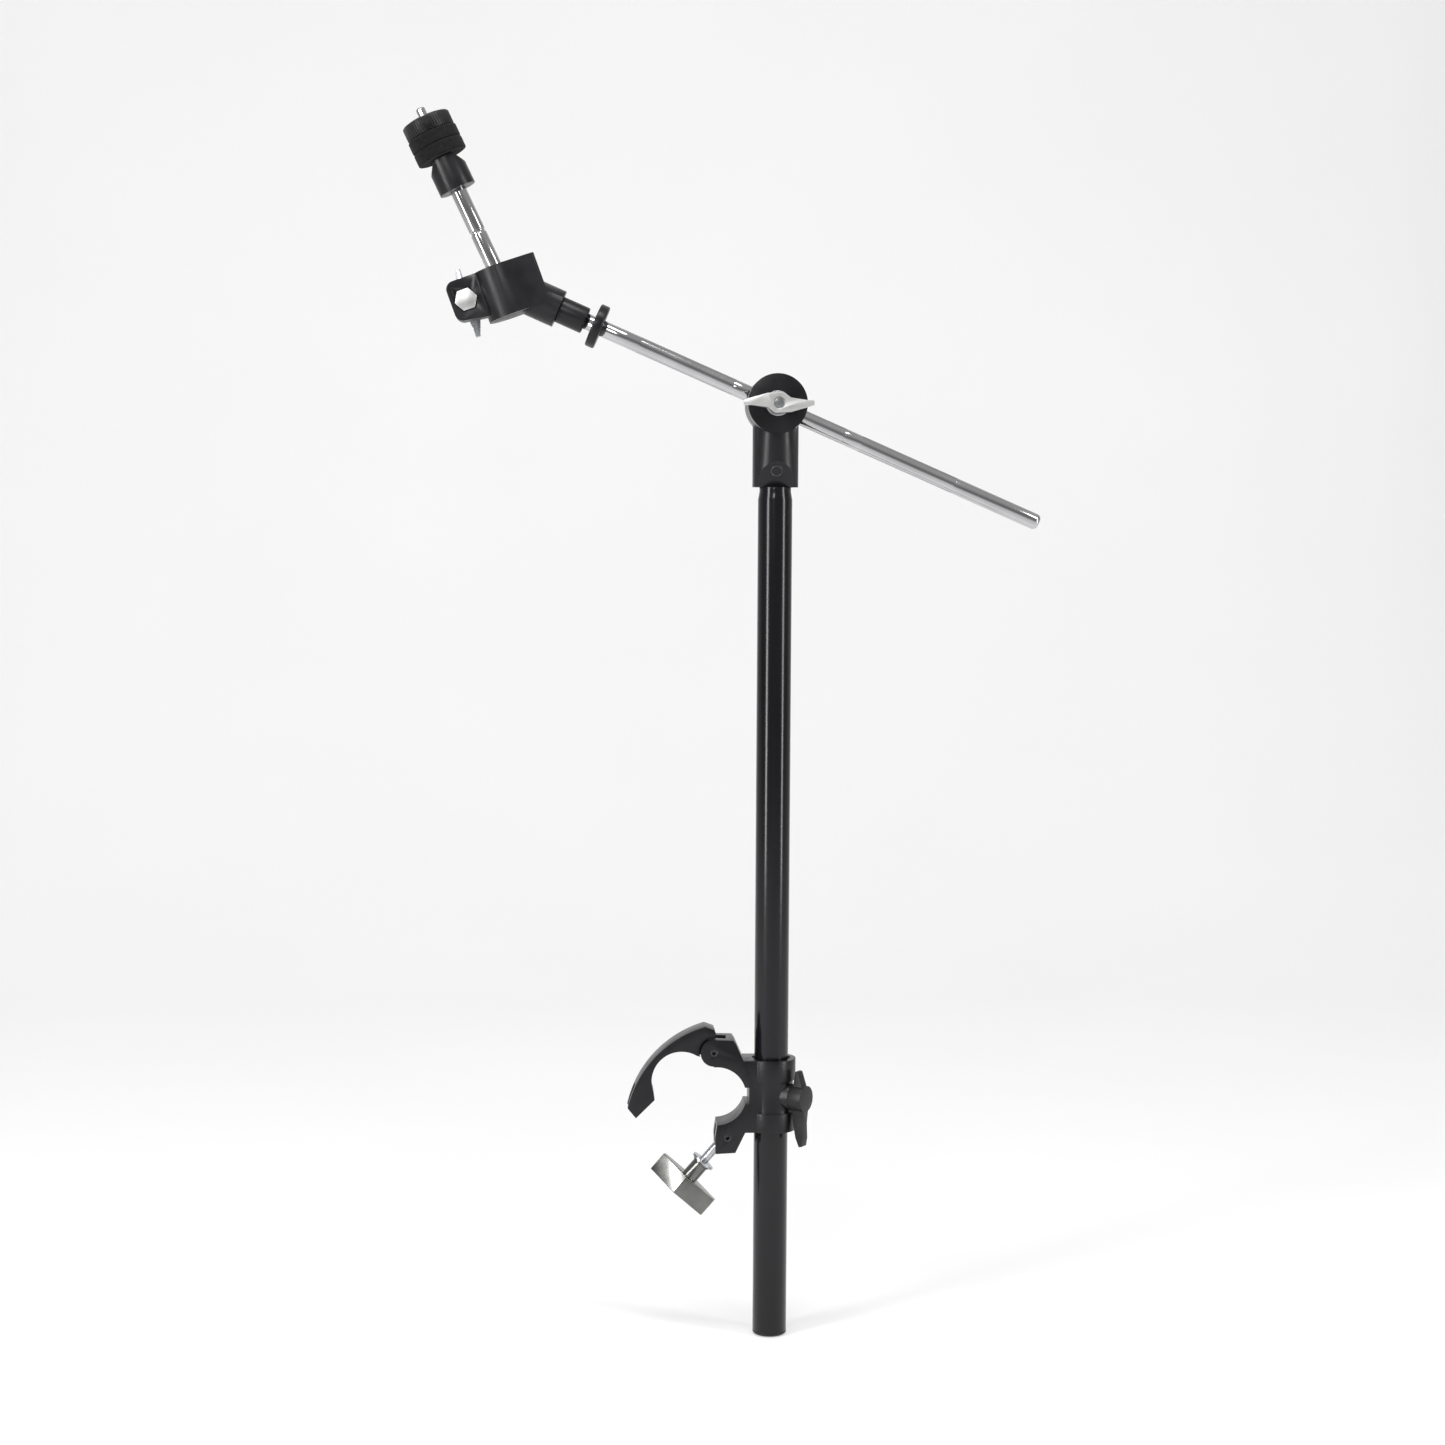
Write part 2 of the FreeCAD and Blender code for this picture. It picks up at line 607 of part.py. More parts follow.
def make_clamp_knob():
    """Cast grip: a long lozenge on a round neck."""
    foot = flange_at + flange_thick + face_gap / 2
    grip_foot = foot + knob_neck
    neck = rod("knob_neck_part", knob_neck_dia / 2, foot, knob_neck + 2)
    half, side, end = knob_length / 2, knob_depth / 2, knob_end / 2
    grip = plate(
        "knob_grip",
        "XY",
        [(half, -end), (half, end), (0, side), (-half, end), (-half, -end), (0, -side)],
        knob_thick,
    )
    place(grip, (0, 0, grip_foot + knob_thick / 2))
    hole = rod("knob_hole", bolt_dia / 2 + run_fit, foot - 1, bolt_reach - foot + 1 + screw_room)
    knob = cut("knob_blank", join("knob_cast", neck, grip), hole)
    turned_knob = place(knob, (0, 0, 0), "Z", knob_turned)
    return on_bolt(join("clamp_knob", turned_knob, neck_collar(foot)))


def neck_collar(foot):
    """Bead round the foot of the knob's neck."""
    inner = bolt_dia / 2 + run_fit
    bead = tube(inner, knob_neck_dia / 2 + 0.8, foot, foot + 1.4)
    return turned("knob_bead", bead)


def make_liner():
    low = sleeve_foot + 0.8
    high = sleeve_top - 0.8
    skin = turned("liner_tube", tube(pipe_dia / 2 + run_fit, liner_outer, low, high))
    slit = block(
        "liner_slit",
        (-liner_outer * 2, -liner_slit / 2, low * 2),
        (liner_outer * 2, liner_slit, FAR),
    )
    return place(cut("pipe_liner", skin, slit), (pipe_offset, 0, 0))


def make_sleeve_bolt():
    """Wing bolt that squeezes the liner: insert, pad, stud and wing, made along X."""
    face = boss_reach
    insert = cut(
        "sleeve_insert",
        rod("insert_skin", insert_dia / 2, face - insert_length, insert_length, "X"),
        rod("insert_bore", stud_dia / 2 + run_fit, 0, FAR, "X"),
    )
    pad_face = sleeve_bore + face_gap / 2
    pad = carry("pressure_pad", rod("pad_rod", stud_dia / 2, pad_face, pad_thick, "X"))
    stud_start = pad_face + pad_thick
    wing_start = face + face_gap
    stud_length = wing_start + wing_hub / 2 - stud_start
    stud = carry("sleeve_stud", rod("stud_rod", stud_dia / 2, stud_start, stud_length, "X"))
    hub = rod("wing_hub_part", wing_hub_dia / 2, 0, wing_hub, "X")
    blade = plate(
        "wing_blade",
        "XZ",
        [
            (wing_hub - 1.0, 6.0),
            (wing_hub - 3.1, wing_up - 5.8),
            (wing_hub - 4.9, wing_up - 0.4),
            (wing_hub - 6.6, wing_up),
            (2.0, wing_up - 6.0),
            (0, 2.0),
            (0, -6.0),
            (1.6, -wing_down + 15.0),
            (3.4, -wing_down + 6.0),
            (6.0, -wing_down),
            (8.0, -wing_down + 0.4),
            (8.8, -wing_down + 5.6),
            (8.4, -wing_down + 15.0),
            (wing_hub - 0.4, -8.0),
        ],
        wing_thick,
    )
    hole = rod("wing_stud_hole", stud_dia / 2, -1, wing_hub / 2 + 1, "X")
    wing = cut("wing_upright", join("wing_cast", hub, blade), hole)
    place(wing, (wing_start, 0, 0), "X", wing_turn)
    return (
        on_sleeve(insert),
        on_sleeve(pad),
        on_sleeve(stud),
        on_sleeve(carry("sleeve_wing", wing)),
    )


# ---------------------------------------------------------------- pipe


def make_pipe():
    outer, neck = pipe_dia / 2, neck_dia / 2
    foot = -pipe_below + plug_lip
    corners = [
        (outer - pipe_wall, foot),
        (outer, foot),
        (outer, pipe_top - neck_height),
        (neck, pipe_top - neck_height * 0.35),
        (neck, pipe_top),
        (neck - pipe_wall, pipe_top),
        (neck - pipe_wall, pipe_top - neck_height * 0.35),
        (outer - pipe_wall, pipe_top - neck_height),
    ]
    return place(turned("main_pipe", corners), (pipe_offset, 0, 0))


def make_end_plug():
    outer = pipe_dia / 2
    inner = outer - pipe_wall
    foot = -pipe_below
    corners = [
        (0, foot),
        (outer - 1.0, foot),
        (outer, foot + 1.0),
        (outer, foot + plug_lip),
        (inner, foot + plug_lip),
        (inner, foot + plug_depth - 1.0),
        (inner - 1.0, foot + plug_depth),
        (0, foot + plug_depth),
    ]
    return place(turned("pipe_end_plug", corners), (pipe_offset, 0, 0))


# ---------------------------------------------------------------- tilter

tilter_x = pipe_offset + tilter_side
tilter_z = pipe_top + tilter_rise
tilter_axis = (tilter_x, tilter_z)
bush_outer = rod_dia / 2 + run_fit + bush_wall


def make_socket():
    """Casting on top of the pipe: a round socket that carries the fixed disc of the tilter."""
    pipe_axis = (pipe_offset, 0)
    radius = socket_dia / 2
    spigot_radius = neck_dia / 2 - pipe_wall
    spigot_foot = pipe_top - spigot_length
    barrel = rod("socket_barrel", radius, pipe_top, tilter_rise - 10.0, "Z", pipe_axis)
    spigot = rod("socket_spigot", spigot_radius, spigot_foot, spigot_length + 1, "Z", pipe_axis)
    disc_length = head_back - head_front
    disc = rod("socket_disc", disc_dia / 2, head_front, disc_length, "Y", tilter_axis)
    casting = join("socket_casting", barrel, disc, spigot)
    rear = block(
        "socket_rear_cut",
        (pipe_offset - FAR / 2, shoulder_back, pipe_top + shoulder_rise),
        (FAR, FAR, FAR),
    )
    swing = rod("socket_swing_cut", disc_dia / 2 + loose_fit, head_back, FAR, "Y", tilter_axis)
    facet = plate(
        "socket_facet",
        "YZ",
        [
            (-radius, facet_height),
            (-radius - 10, facet_height),
            (-radius - 10, 0),
            (-radius + facet_depth, 0),
        ],
        socket_dia * 2,
    )
    place(facet, (pipe_offset, 0, pipe_top))
    hole = rod("socket_hole", tee_dia / 2 + run_fit, -FAR, FAR * 2, "Y", tilter_axis)
    return cut("tilter_socket", casting, rear, swing, facet, hole)


def make_socket_ring():
    """Small plain ring set on the socket's facet."""
    ring = doc.addObject("Part::Torus", "socket_ring")
    bind(ring, "Radius1", mark_radius)
    bind(ring, "Radius2", mark_wire)
    depth = facet_depth * mark_up / facet_height
    lean = 90 - math.degrees(math.atan(float(facet_depth) / float(facet_height)))
    height = pipe_top + mark_up
    return place(ring, (pipe_offset, -socket_dia / 2 + facet_depth - depth, height), "X", -lean)


def on_boom(thing):
    """Lay a piece made along Z on the boom's line; +Z then points down to the free end."""
    return place(thing, (tilter_x, boom_y, tilter_z), "Y", 90 + boom_fall)


def make_boom_holder():
    """Turning half of the tilter: a thick disc with a cross hole for the boom."""
    front = head_back + face_gap - boom_y
    disc = rod("holder_disc", disc_dia / 2, front, holder_thick, "Y")
    cross = rod("holder_cross_hole", bush_outer + run_fit, -FAR / 2, FAR)
    eye_room = bush_outer + run_fit + eye_wall + loose_fit
    slot_half = ring_width / 2 + loose_fit / 2
    slot = block(
        "holder_eye_slot",
        (-eye_room, -eye_room - 0.4, -slot_half),
        (eye_room * 2, FAR, slot_half * 2),
    )
    hole = rod("holder_hole", tee_dia / 2 + run_fit, -FAR / 2, FAR, "Y")
    return on_boom(cut("boom_holder", disc, cross, slot, hole))


def make_tilter_bolt():
    """Eye bolt: the eye holds the bush and boom, the thread comes out through the front disc."""
    inner = bush_outer + run_fit
    eye = rod("tilter_eye", inner + eye_wall, -ring_width / 2, ring_width)
    shank = rod("tilter_shank", tee_dia / 2, -tee_reach, tee_reach, "Y")
    bore = rod("tilter_bore", inner, -FAR / 2, FAR)
    return on_boom(cut("tilter_eye_bolt", join("tilter_eye_blank", eye, shank), bore))


def make_split_bush():
    skin = turned(
        "bush_tube", tube(rod_dia / 2 + run_fit, bush_outer, -bush_length / 2, bush_length / 2)
    )
    slit = block("bush_slit_cut", (0, -bush_slit / 2, -bush_length), (FAR, bush_slit, FAR))
    return on_boom(cut("split_bush", skin, slit))


def make_tilter_washer():
    start = head_front - washer_thick - face_gap / 2
    skin = rod("tilter_washer_skin", washer_dia / 2, start, washer_thick, "Y", tilter_axis)
    bore = rod("tilter_washer_bore", tee_dia / 2 + run_fit, -FAR, FAR * 2, "Y", tilter_axis)
    return cut("tilter_washer", skin, bore)


def make_wing_nut(name, length, thread, neck=0):
    """Wing nut along Z: a round foot and two blades in an S, with the thread right through."""
    top = neck + nut_height
    foot = turned(
        f"{name}_foot",
        [
            (0, 0),
            (nut_hub / 2, 0),
            (nut_hub / 2 - 0.6, 1.6),
            (nut_hub / 2 - 1.8, neck + nut_height * 0.75),
            (nut_hub / 2 - 2.6, top),
            (0, top),
        ],
    )
    half = length / 2
    blades = plate(
        f"{name}_blades",
        "XY",
        [
            (-half, -1.5),
            (-half * 0.75, -1.7),
            (-half * 0.33, -3.1),
            (-half * 0.12, -6.5),
            (half * 0.34, -5.9),
            (half * 0.75, -3.2),
            (half, -1.4),
            (half, 1.5),
            (half * 0.75, 1.7),
            (half * 0.33, 3.1),
            (half * 0.12, 6.5),
            (-half * 0.34, 5.9),
            (-half * 0.75, 3.2),
            (-half, 1.4),
        ],
        nut_height * 0.8,
    )
    place(blades, (0, 0, neck + nut_height * 0.7))
    hole = rod(f"{name}_thread", thread / 2 + run_fit, -1, top * 2)
    mouth = rod(f"{name}_mouth", nut_mouth / 2, top - nut_mouth_depth, nut_height)
    return cut(name, join(f"{name}_cast", foot, blades), hole, mouth)


def make_tilter_wing_nut():
    nut = make_wing_nut("tilter_wing_nut", nut_length, tee_dia)
    start = head_front - washer_thick - face_gap
    return place(nut, (tilter_x, start, tilter_z), "X", 90)


# ---------------------------------------------------------------- boom rod


def make_boom_rod():
    """Bright rod with three knurled bands, a threaded left end and a chamfered free end."""
    radius = rod_dia / 2
    sunk = radius - knurl_relief
    corners = [
        (0, -boom_left - boom_stud),
        (boom_stud_dia / 2 - 0.8, -boom_left - boom_stud),
        (boom_stud_dia / 2, -boom_left - boom_stud + 0.8),
        (boom_stud_dia / 2, -boom_left),
        (radius, -boom_left),
    ]
    for band in range(3):
        start = knurl_start + (knurl_length + knurl_gap) * band
        end = start + knurl_length
        corners += [(radius, start), (sunk, start + knurl_relief)]
        corners += [(sunk, end - knurl_relief), (radius, end)]
    corners += [
        (radius, boom_right - end_chamfer),
        (radius - end_chamfer, boom_right),
        (0, boom_right),
    ]
    blank = turned("boom_rod_blank", corners)
    hole = rod("boom_pin_hole", stop_pin_dia / 2, -FAR / 2, FAR, "X", (0, boom_right - pin_from_end))
    turn_to_front(hole)
    return on_boom(cut("boom_rod", blank, hole))


def turn_to_front(thing):
    """Turn a piece made along X round the rod, towards its front."""
    shift = thing.Placement.Base
    about = FreeCAD.Rotation(VECTOR["Z"], float(pin_turn))
    quarter = about * thing.Placement.Rotation
    base = about.multVec(shift)
    thing.setExpression("Placement.Base.x", None)
    thing.Placement = FreeCAD.Placement(base, quarter)


def make_stop_pin():
    """Hollow pin through the free end."""
    length = rod_dia - 0.3
    skin = rod("stop_pin_skin", stop_pin_dia / 2, -length / 2, length)
    core = rod("stop_pin_core", stop_pin_dia / 4, -length, length * 2)
    pin = cut("stop_pin_made", skin, core)
    place(pin, (0, 0, 0), "Y", 90)
    spun = join("stop_pin_spun", pin, rod("stop_pin_web", stop_pin_dia / 2, -0.6, 1.2, "X"))
    place(spun, (0, 0, boom_right - pin_from_end), "Z", pin_turn)
    return on_boom(carry("rod_stop_pin", spun))


def make_lock_ring():
    half, radius = ring_thick / 2, ring_dia / 2
    inner = rod_dia / 2 + run_fit
    corners = [
        (inner, -half),
        (radius - 0.7, -half),
        (radius, -half + 0.7),
        (radius, half - 0.7),
        (radius - 0.7, half),
        (inner, half),
    ]
    corners = [(across, up - ring_at) for across, up in corners]
    return on_boom(turned("boom_lock_ring", corners))


# ---------------------------------------------------------------- ball clamp

slope = 90 + boom_fall
ball_x = tilter_x - ball_back * cosine(boom_fall) - ball_drop * sine(boom_fall)
ball_z = tilter_z + ball_back * sine(boom_fall) - ball_drop * cosine(boom_fall)
ball_centre = (ball_x, boom_y, ball_z)


def on_clamp(thing):
    """Stand a piece made round the ball clamp's upright axis, ball centre at zero, in place."""
    return place(thing, ball_centre, "Y", head_lean)


def in_clamp(thing, start):
    """Bring a piece made along Z onto the boom's line, seen from the ball clamp's own frame."""
    lean = slope - head_lean
    along = ball_back + start
    across = along * sine(lean) - ball_drop * cosine(lean)
    up = along * cosine(lean) + ball_drop * sine(lean)
    return place(thing, (across, 0, up), "Y", lean)


def make_coupling():
    """Turned piece between the boom rod's thread and the ball clamp."""
    outer, spigot = coupling_dia / 2, coupling_spigot / 2
    bore = boom_stud_dia / 2 + run_fit
    face = -boom_left - face_gap
    bottom = -boom_left - boom_stud - 0.4
    corners = [
        (0, -coupling_end - 12),
        (spigot, -coupling_end - 12),
        (spigot, -coupling_end),
        (outer, -coupling_end),
        (outer, face - 0.6),
        (outer - 0.6, face),
        (bore, face),
        (bore, bottom),
        (0, bottom),
    ]
    return on_boom(turned("boom_coupling", corners))


def make_ball_clamp():
    """Casting: collar round the ball, two ears with a slit, and a boss for the coupling."""
    radius = collar_dia / 2
    height = collar_up + collar_down
    collar = rod("head_collar", radius, -collar_down, height)
    cheek = plate(
        "head_cheek",
        "XY",
        [
            (0, -radius),
            (4.0, -radius),
            (block_reach - 1.5, -radius + 5.0),
            (block_reach, -radius + 7.0),
            (block_reach, radius - 7.0),
            (block_reach - 1.5, radius - 5.0),
            (4.0, radius),
            (0, radius),
        ],
        height,
    )
    place(cheek, (0, 0, (collar_up - collar_down) / 2))
    left, corner = -ear_reach, ear_corner
    ears = plate(
        "head_ears",
        "XZ",
        [
            (-8.0, collar_up),
            (left + corner, collar_up, -corner * 1.0),
            (left, collar_up - corner),
            (left, ear_foot + corner, -corner * 1.0),
            (left + corner, ear_foot),
            (-8.0, ear_foot - 3.4),
        ],
        ear_half * 2,
    )
    boss_start = 8 - ball_back
    boss = rod("head_boss", socket_wall_dia / 2, 0, -coupling_end - boss_start)
    in_clamp(boss, boss_start)
    casting = join("head_casting", collar, cheek, ears, boss)
    seat_radius = seat_dia / 2 + run_fit
    seat_top = seat_half + face_gap
    mouth = cone("head_mouth", mouth_low, mouth_high, seat_top - 0.01, collar_up - seat_top + 0.02)
    spigot = rod("head_spigot_hole", coupling_spigot / 2, 0, 12)
    in_clamp(spigot, -coupling_end - 12)
    recess = hexagon("head_hex_recess", hex_flats + 1.2, -ear_half - 1, hex_recess + 1)
    return on_clamp(
        cut(
            "ball_clamp",
            casting,
            rod("head_seat_bore", seat_radius, -collar_down - 1, collar_down + 1 + seat_top),
            mouth,
            block(
                "head_slit",
                (-FAR, -slit_width / 2, -FAR / 2),
                (FAR, slit_width, FAR),
            ),
            rod("head_bolt_hole", tee_dia / 2 + run_fit, -FAR, FAR * 2, "Y", (draw_u, draw_w)),
            recess,
            spigot,
        )
    )


def hexagon(name, flats, start, length):
    """Hexagonal prism along Y on the draw bolt's axis."""
    prism = doc.addObject("Part::Prism", name)
    prism.Polygon = 6
    bind(prism, "Circumradius", flats / math.sqrt(3))
    bind(prism, "Height", length)
    return place(prism, (draw_u, start, draw_w), "X", -90)


def make_draw_bolt():
    seat = -ear_half + hex_recess
    head = hexagon("draw_bolt_head", hex_flats, seat - hex_height, hex_height)
    reach = ear_half * 2 - hex_recess + washer_thick + rear_neck + nut_height - 1.2
    shank = rod("draw_bolt_shank", tee_dia / 2, seat - 0.5, reach, "Y", (draw_u, draw_w))
    return on_clamp(join("draw_bolt", head, shank))


def make_draw_washer():
    start = ear_half + face_gap / 2
    axis = (draw_u, draw_w)
    skin = rod("draw_washer_skin", washer_dia / 2, start, washer_thick, "Y", axis)
    bore = rod("draw_washer_bore", tee_dia / 2 + run_fit, -FAR, FAR * 2, "Y", axis)
    return on_clamp(cut("draw_washer", skin, bore))


def make_draw_wing_nut():
    nut = make_wing_nut("rear_nut", rear_length, tee_dia, rear_neck)
    place(nut, (0, 0, 0), "Z", 90 + rear_turn)
    upright = carry("rear_nut_turned", nut)
    place(upright, (draw_u, ear_half + washer_thick + face_gap, draw_w), "X", -90)
    return on_clamp(carry("draw_wing_nut", upright))


def make_ball_seat():
    """Nylon ring that the ball turns in."""
    skin = rod("seat_skin", seat_dia / 2, -seat_half, seat_half * 2)
    ball = doc.addObject("Part::Sphere", "seat_hollow")
    bind(ball, "Radius", ball_dia / 2 + run_fit)
    return on_clamp(cut("ball_seat", skin, ball))


def make_clamp_plug():
    corners = tube(0, seat_dia / 2 + run_fit, -collar_down, -collar_down + plug_thick)
    return on_clamp(turned("ball_clamp_plug", corners))


# ---------------------------------------------------------------- cymbal rod


def on_cymbal_rod(thing):
    """Stand a piece made along Z on the cymbal rod's line, ball centre at zero."""
    return place(thing, ball_centre, "Y", cymbal_lean)


def make_pivot_ball():
    ball = doc.addObject("Part::Sphere", "pivot_ball_sphere")
    bind(ball, "Radius", ball_dia / 2)
    seat = rod("pivot_ball_flat", rod_dia / 2, rod_seat, FAR)
    thread = rod("pivot_ball_thread", ball_thread / 2, -2, FAR)
    return on_cymbal_rod(cut("pivot_ball", ball, seat, thread))


def make_cymbal_rod():
    radius, stud = rod_dia / 2, top_thread / 2
    step = stop_at + stop_height - 6
    corners = [
        (0, -2),
        (ball_thread / 2, -2),
        (ball_thread / 2, rod_seat),
        (radius, rod_seat),
        (radius, groove_at - groove_width / 2),
        (radius - groove_depth, groove_at - groove_width / 2 + groove_depth),
        (radius - groove_depth, groove_at + groove_width / 2 - groove_depth),
        (radius, groove_at + groove_width / 2),
        (radius, step),
        (stud, step),
        (stud, stud_end - 0.8),
        (stud - 0.8, stud_end),
        (0, stud_end),
    ]
    return on_cymbal_rod(turned("cymbal_rod", corners))


def make_stopper():
    """Round sleeve with a roof-shaped top, held on the rod by a set screw."""
    half, ridge = stop_dia / 2, stop_ridge / 2
    round_blank = rod("stopper_round", half, 0, stop_height)
    roof = plate(
        "stopper_roof",
        "XZ",
        [
            (half, 0),
            (half, stop_side),
            (ridge, stop_height),
            (-ridge, stop_height),
            (-half, stop_side),
            (-half, 0),
        ],
        stop_dia,
    )
    blank = overlap("stopper_blank", round_blank, roof)
    bore = rod("stopper_bore", rod_dia / 2, -1, stop_height - 5)
    thread = rod("stopper_thread", top_thread / 2, 0, FAR)
    screw = rod("stopper_screw_hole", grub_dia / 2, 0, FAR, "Y", (0, 6))
    whole = cut("stopper_made", blank, bore, thread, screw)
    place(whole, (0, 0, stop_at))
    return on_cymbal_rod(carry("cymbal_stopper", whole))


def make_grub_screw():
    length = stop_dia / 2 - rod_dia / 2 - 0.8
    screw = rod("stopper_screw_rod", grub_dia / 2, rod_dia / 2, length, "Y", (0, stop_at + 6))
    key_start = rod_dia / 2 + length - 2.2
    key = rod("stopper_screw_key", grub_dia / 4, key_start, 4, "Y", (0, stop_at + 6))
    return on_cymbal_rod(cut("stopper_set_screw", screw, key))


felt_foot = stop_at + stop_height
felt_joint = felt_foot + felt_thick
nut_foot = felt_joint + felt_thick
tube_outer = top_thread / 2 + run_fit + tube_wall


def make_cymbal_sleeve():
    top = nut_foot - 1.2
    corners = tube(top_thread / 2 + run_fit, tube_outer, felt_foot, top)
    return on_cymbal_rod(turned("cymbal_sleeve", corners))


def make_felt(name, low):
    corners = tube(tube_outer + felt_bore_gap, felt_dia / 2, low, low + felt_thick)
    return on_cymbal_rod(turned(name, corners))


def make_cymbal_nut():
    """Plastic nut with a domed top, moulded round a metal core."""
    radius = top_nut_dia / 2
    foot = nut_foot + face_gap / 2
    top = foot + top_nut_height
    bore = top_thread / 2 + run_fit
    core = core_dia / 2
    core_top = foot + 1 + core_height
    corners = [
        (core, foot),
        (radius - 0.6, foot),
        (radius, foot + 0.6),
        (radius, top - top_nut_dome),
        (radius - 1.0, top - top_nut_dome + 0.9),
        (radius * 0.6, top - 0.5),
        (radius * 0.3, top),
        (bore, top),
        (bore, core_top),
        (core, core_top),
    ]
    nut = on_cymbal_rod(turned("cymbal_nut", corners))
    metal = on_cymbal_rod(turned("nut_core", tube(bore, core, foot + 1, core_top)))
    return nut, metal


# ---------------------------------------------------------------- make, check and write

nodes = [
    make_clamp_body(),
    *make_clamp_pins(),
    make_jaw(),
    make_swing_bolt(),
    make_knob_washer(),
    make_clamp_knob(),
    make_liner(),
    *make_sleeve_bolt(),
    make_pipe(),
    make_end_plug(),
    make_socket(),
    make_socket_ring(),
    make_boom_holder(),
    make_tilter_bolt(),
    make_split_bush(),
    make_tilter_washer(),
    make_tilter_wing_nut(),
    make_boom_rod(),
    make_stop_pin(),
    make_lock_ring(),
    make_coupling(),
    make_ball_clamp(),
    make_draw_bolt(),
    make_draw_washer(),
    make_draw_wing_nut(),
    make_ball_seat(),
    make_clamp_plug(),
    make_pivot_ball(),
    make_cymbal_rod(),
    make_stopper(),
    make_grub_screw(),
    make_cymbal_sleeve(),
    make_felt("lower_felt", felt_foot),
    make_felt("upper_felt", felt_joint),
    *make_cymbal_nut(),
]
doc.recompute()

for thing in doc.Objects:
    if "Invalid" in thing.State or "Error" in thing.State:
        raise RuntimeError(f"{thing.Name} did not build: {thing.State}")
for node in nodes:
    if node.Shape.isNull() or not node.Shape.isValid() or not node.Shape.Solids:
        raise RuntimeError(f"{node.Name} has no sound solid")
    node.Label = node.Name

os.makedirs("parts", exist_ok=True)
for node in nodes:
    node.Shape.exportStep(f"parts/{node.Label}.step")
    print(f"{node.Label}: {len(node.Shape.Solids)} solid, {node.Shape.Volume:.0f} mm3")
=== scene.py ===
# %% [markdown]
# # A cymbal boom arm on a rack clamp
# A boom arm carries a cymbal over a drum rack. The mechanical model comes first: it fixes every
# size, place and joint. This lesson dresses that frame. We load it, keep its outer box, and then
# make one finished piece for each part, standing exactly where the mechanical part stands.

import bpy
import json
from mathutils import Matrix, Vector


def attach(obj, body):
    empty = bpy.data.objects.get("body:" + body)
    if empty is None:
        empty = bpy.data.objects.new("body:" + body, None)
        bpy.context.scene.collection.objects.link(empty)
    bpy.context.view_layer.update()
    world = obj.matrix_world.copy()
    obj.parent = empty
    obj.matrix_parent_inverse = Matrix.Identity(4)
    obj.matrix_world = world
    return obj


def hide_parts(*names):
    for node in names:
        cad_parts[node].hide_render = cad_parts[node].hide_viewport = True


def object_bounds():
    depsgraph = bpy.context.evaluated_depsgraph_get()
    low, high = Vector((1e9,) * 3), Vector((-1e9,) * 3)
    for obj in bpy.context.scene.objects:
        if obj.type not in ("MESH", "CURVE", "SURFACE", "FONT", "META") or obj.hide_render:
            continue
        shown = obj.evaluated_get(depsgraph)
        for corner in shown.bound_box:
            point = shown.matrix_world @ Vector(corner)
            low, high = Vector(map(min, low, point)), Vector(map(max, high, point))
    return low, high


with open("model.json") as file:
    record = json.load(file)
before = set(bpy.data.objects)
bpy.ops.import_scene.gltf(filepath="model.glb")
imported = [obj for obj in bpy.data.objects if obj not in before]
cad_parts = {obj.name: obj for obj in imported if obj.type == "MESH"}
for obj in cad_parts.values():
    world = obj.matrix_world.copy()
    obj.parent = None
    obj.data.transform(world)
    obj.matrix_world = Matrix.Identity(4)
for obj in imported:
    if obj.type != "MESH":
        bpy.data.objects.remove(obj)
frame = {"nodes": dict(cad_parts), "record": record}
frame_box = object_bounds()

# %% [markdown]
# Blender works in metres and the drawings of this arm are in millimetres, so one factor turns one
# into the other. Each line that pieces stand on (boom, ball clamp, cymbal rod) leans in one upright
# plane, the plane that the boom swings in. A piece is modelled upright round Z, where spinning and
# measuring are easy, and is then leaned about Y onto its line.

# %% The lines that pieces stand on
import json
import math

import bmesh
import bpy
from mathutils import Matrix, Vector, noise

MM = 0.001


def line(base, lean):
    """Upright Z at `base` (mm), leaned about Y by `lean` degrees."""
    return Matrix.Translation(Vector(base) * MM) @ Matrix.Rotation(math.radians(lean), 4, "Y")


BOOM_SLOPE = 23.4
TILTER = (36.0, 8.0, 447.2)
BALL_BACK, BALL_DROP = 187.3, 3.5
slope = math.radians(BOOM_SLOPE)
BALL = (
    TILTER[0] - BALL_BACK * math.cos(slope) - BALL_DROP * math.sin(slope),
    TILTER[1],
    TILTER[2] + BALL_BACK * math.sin(slope) - BALL_DROP * math.cos(slope),
)
BOOM_LINE = line(TILTER, 90 + BOOM_SLOPE)
CLAMP_LINE = line(BALL, -20.0)
ROD_LINE = line(BALL, -25.4)
print("ball centre at", [round(value, 2) for value in BALL], "mm")

# %% [markdown]
# ## Finishes
# Every finish is procedural: the colour, the roughness and the fine relief come from noise, so there
# is nothing to wrap or tile. One helper lays down the shared nodes, and each finish only says its
# own numbers. Noise on object coordinates suits castings, because it has no seams.

# %% A helper that mixes one finish
CLOUD_LOW, CLOUD_HIGH = 0.3, 0.7
RELIEF_STRENGTH = 0.35


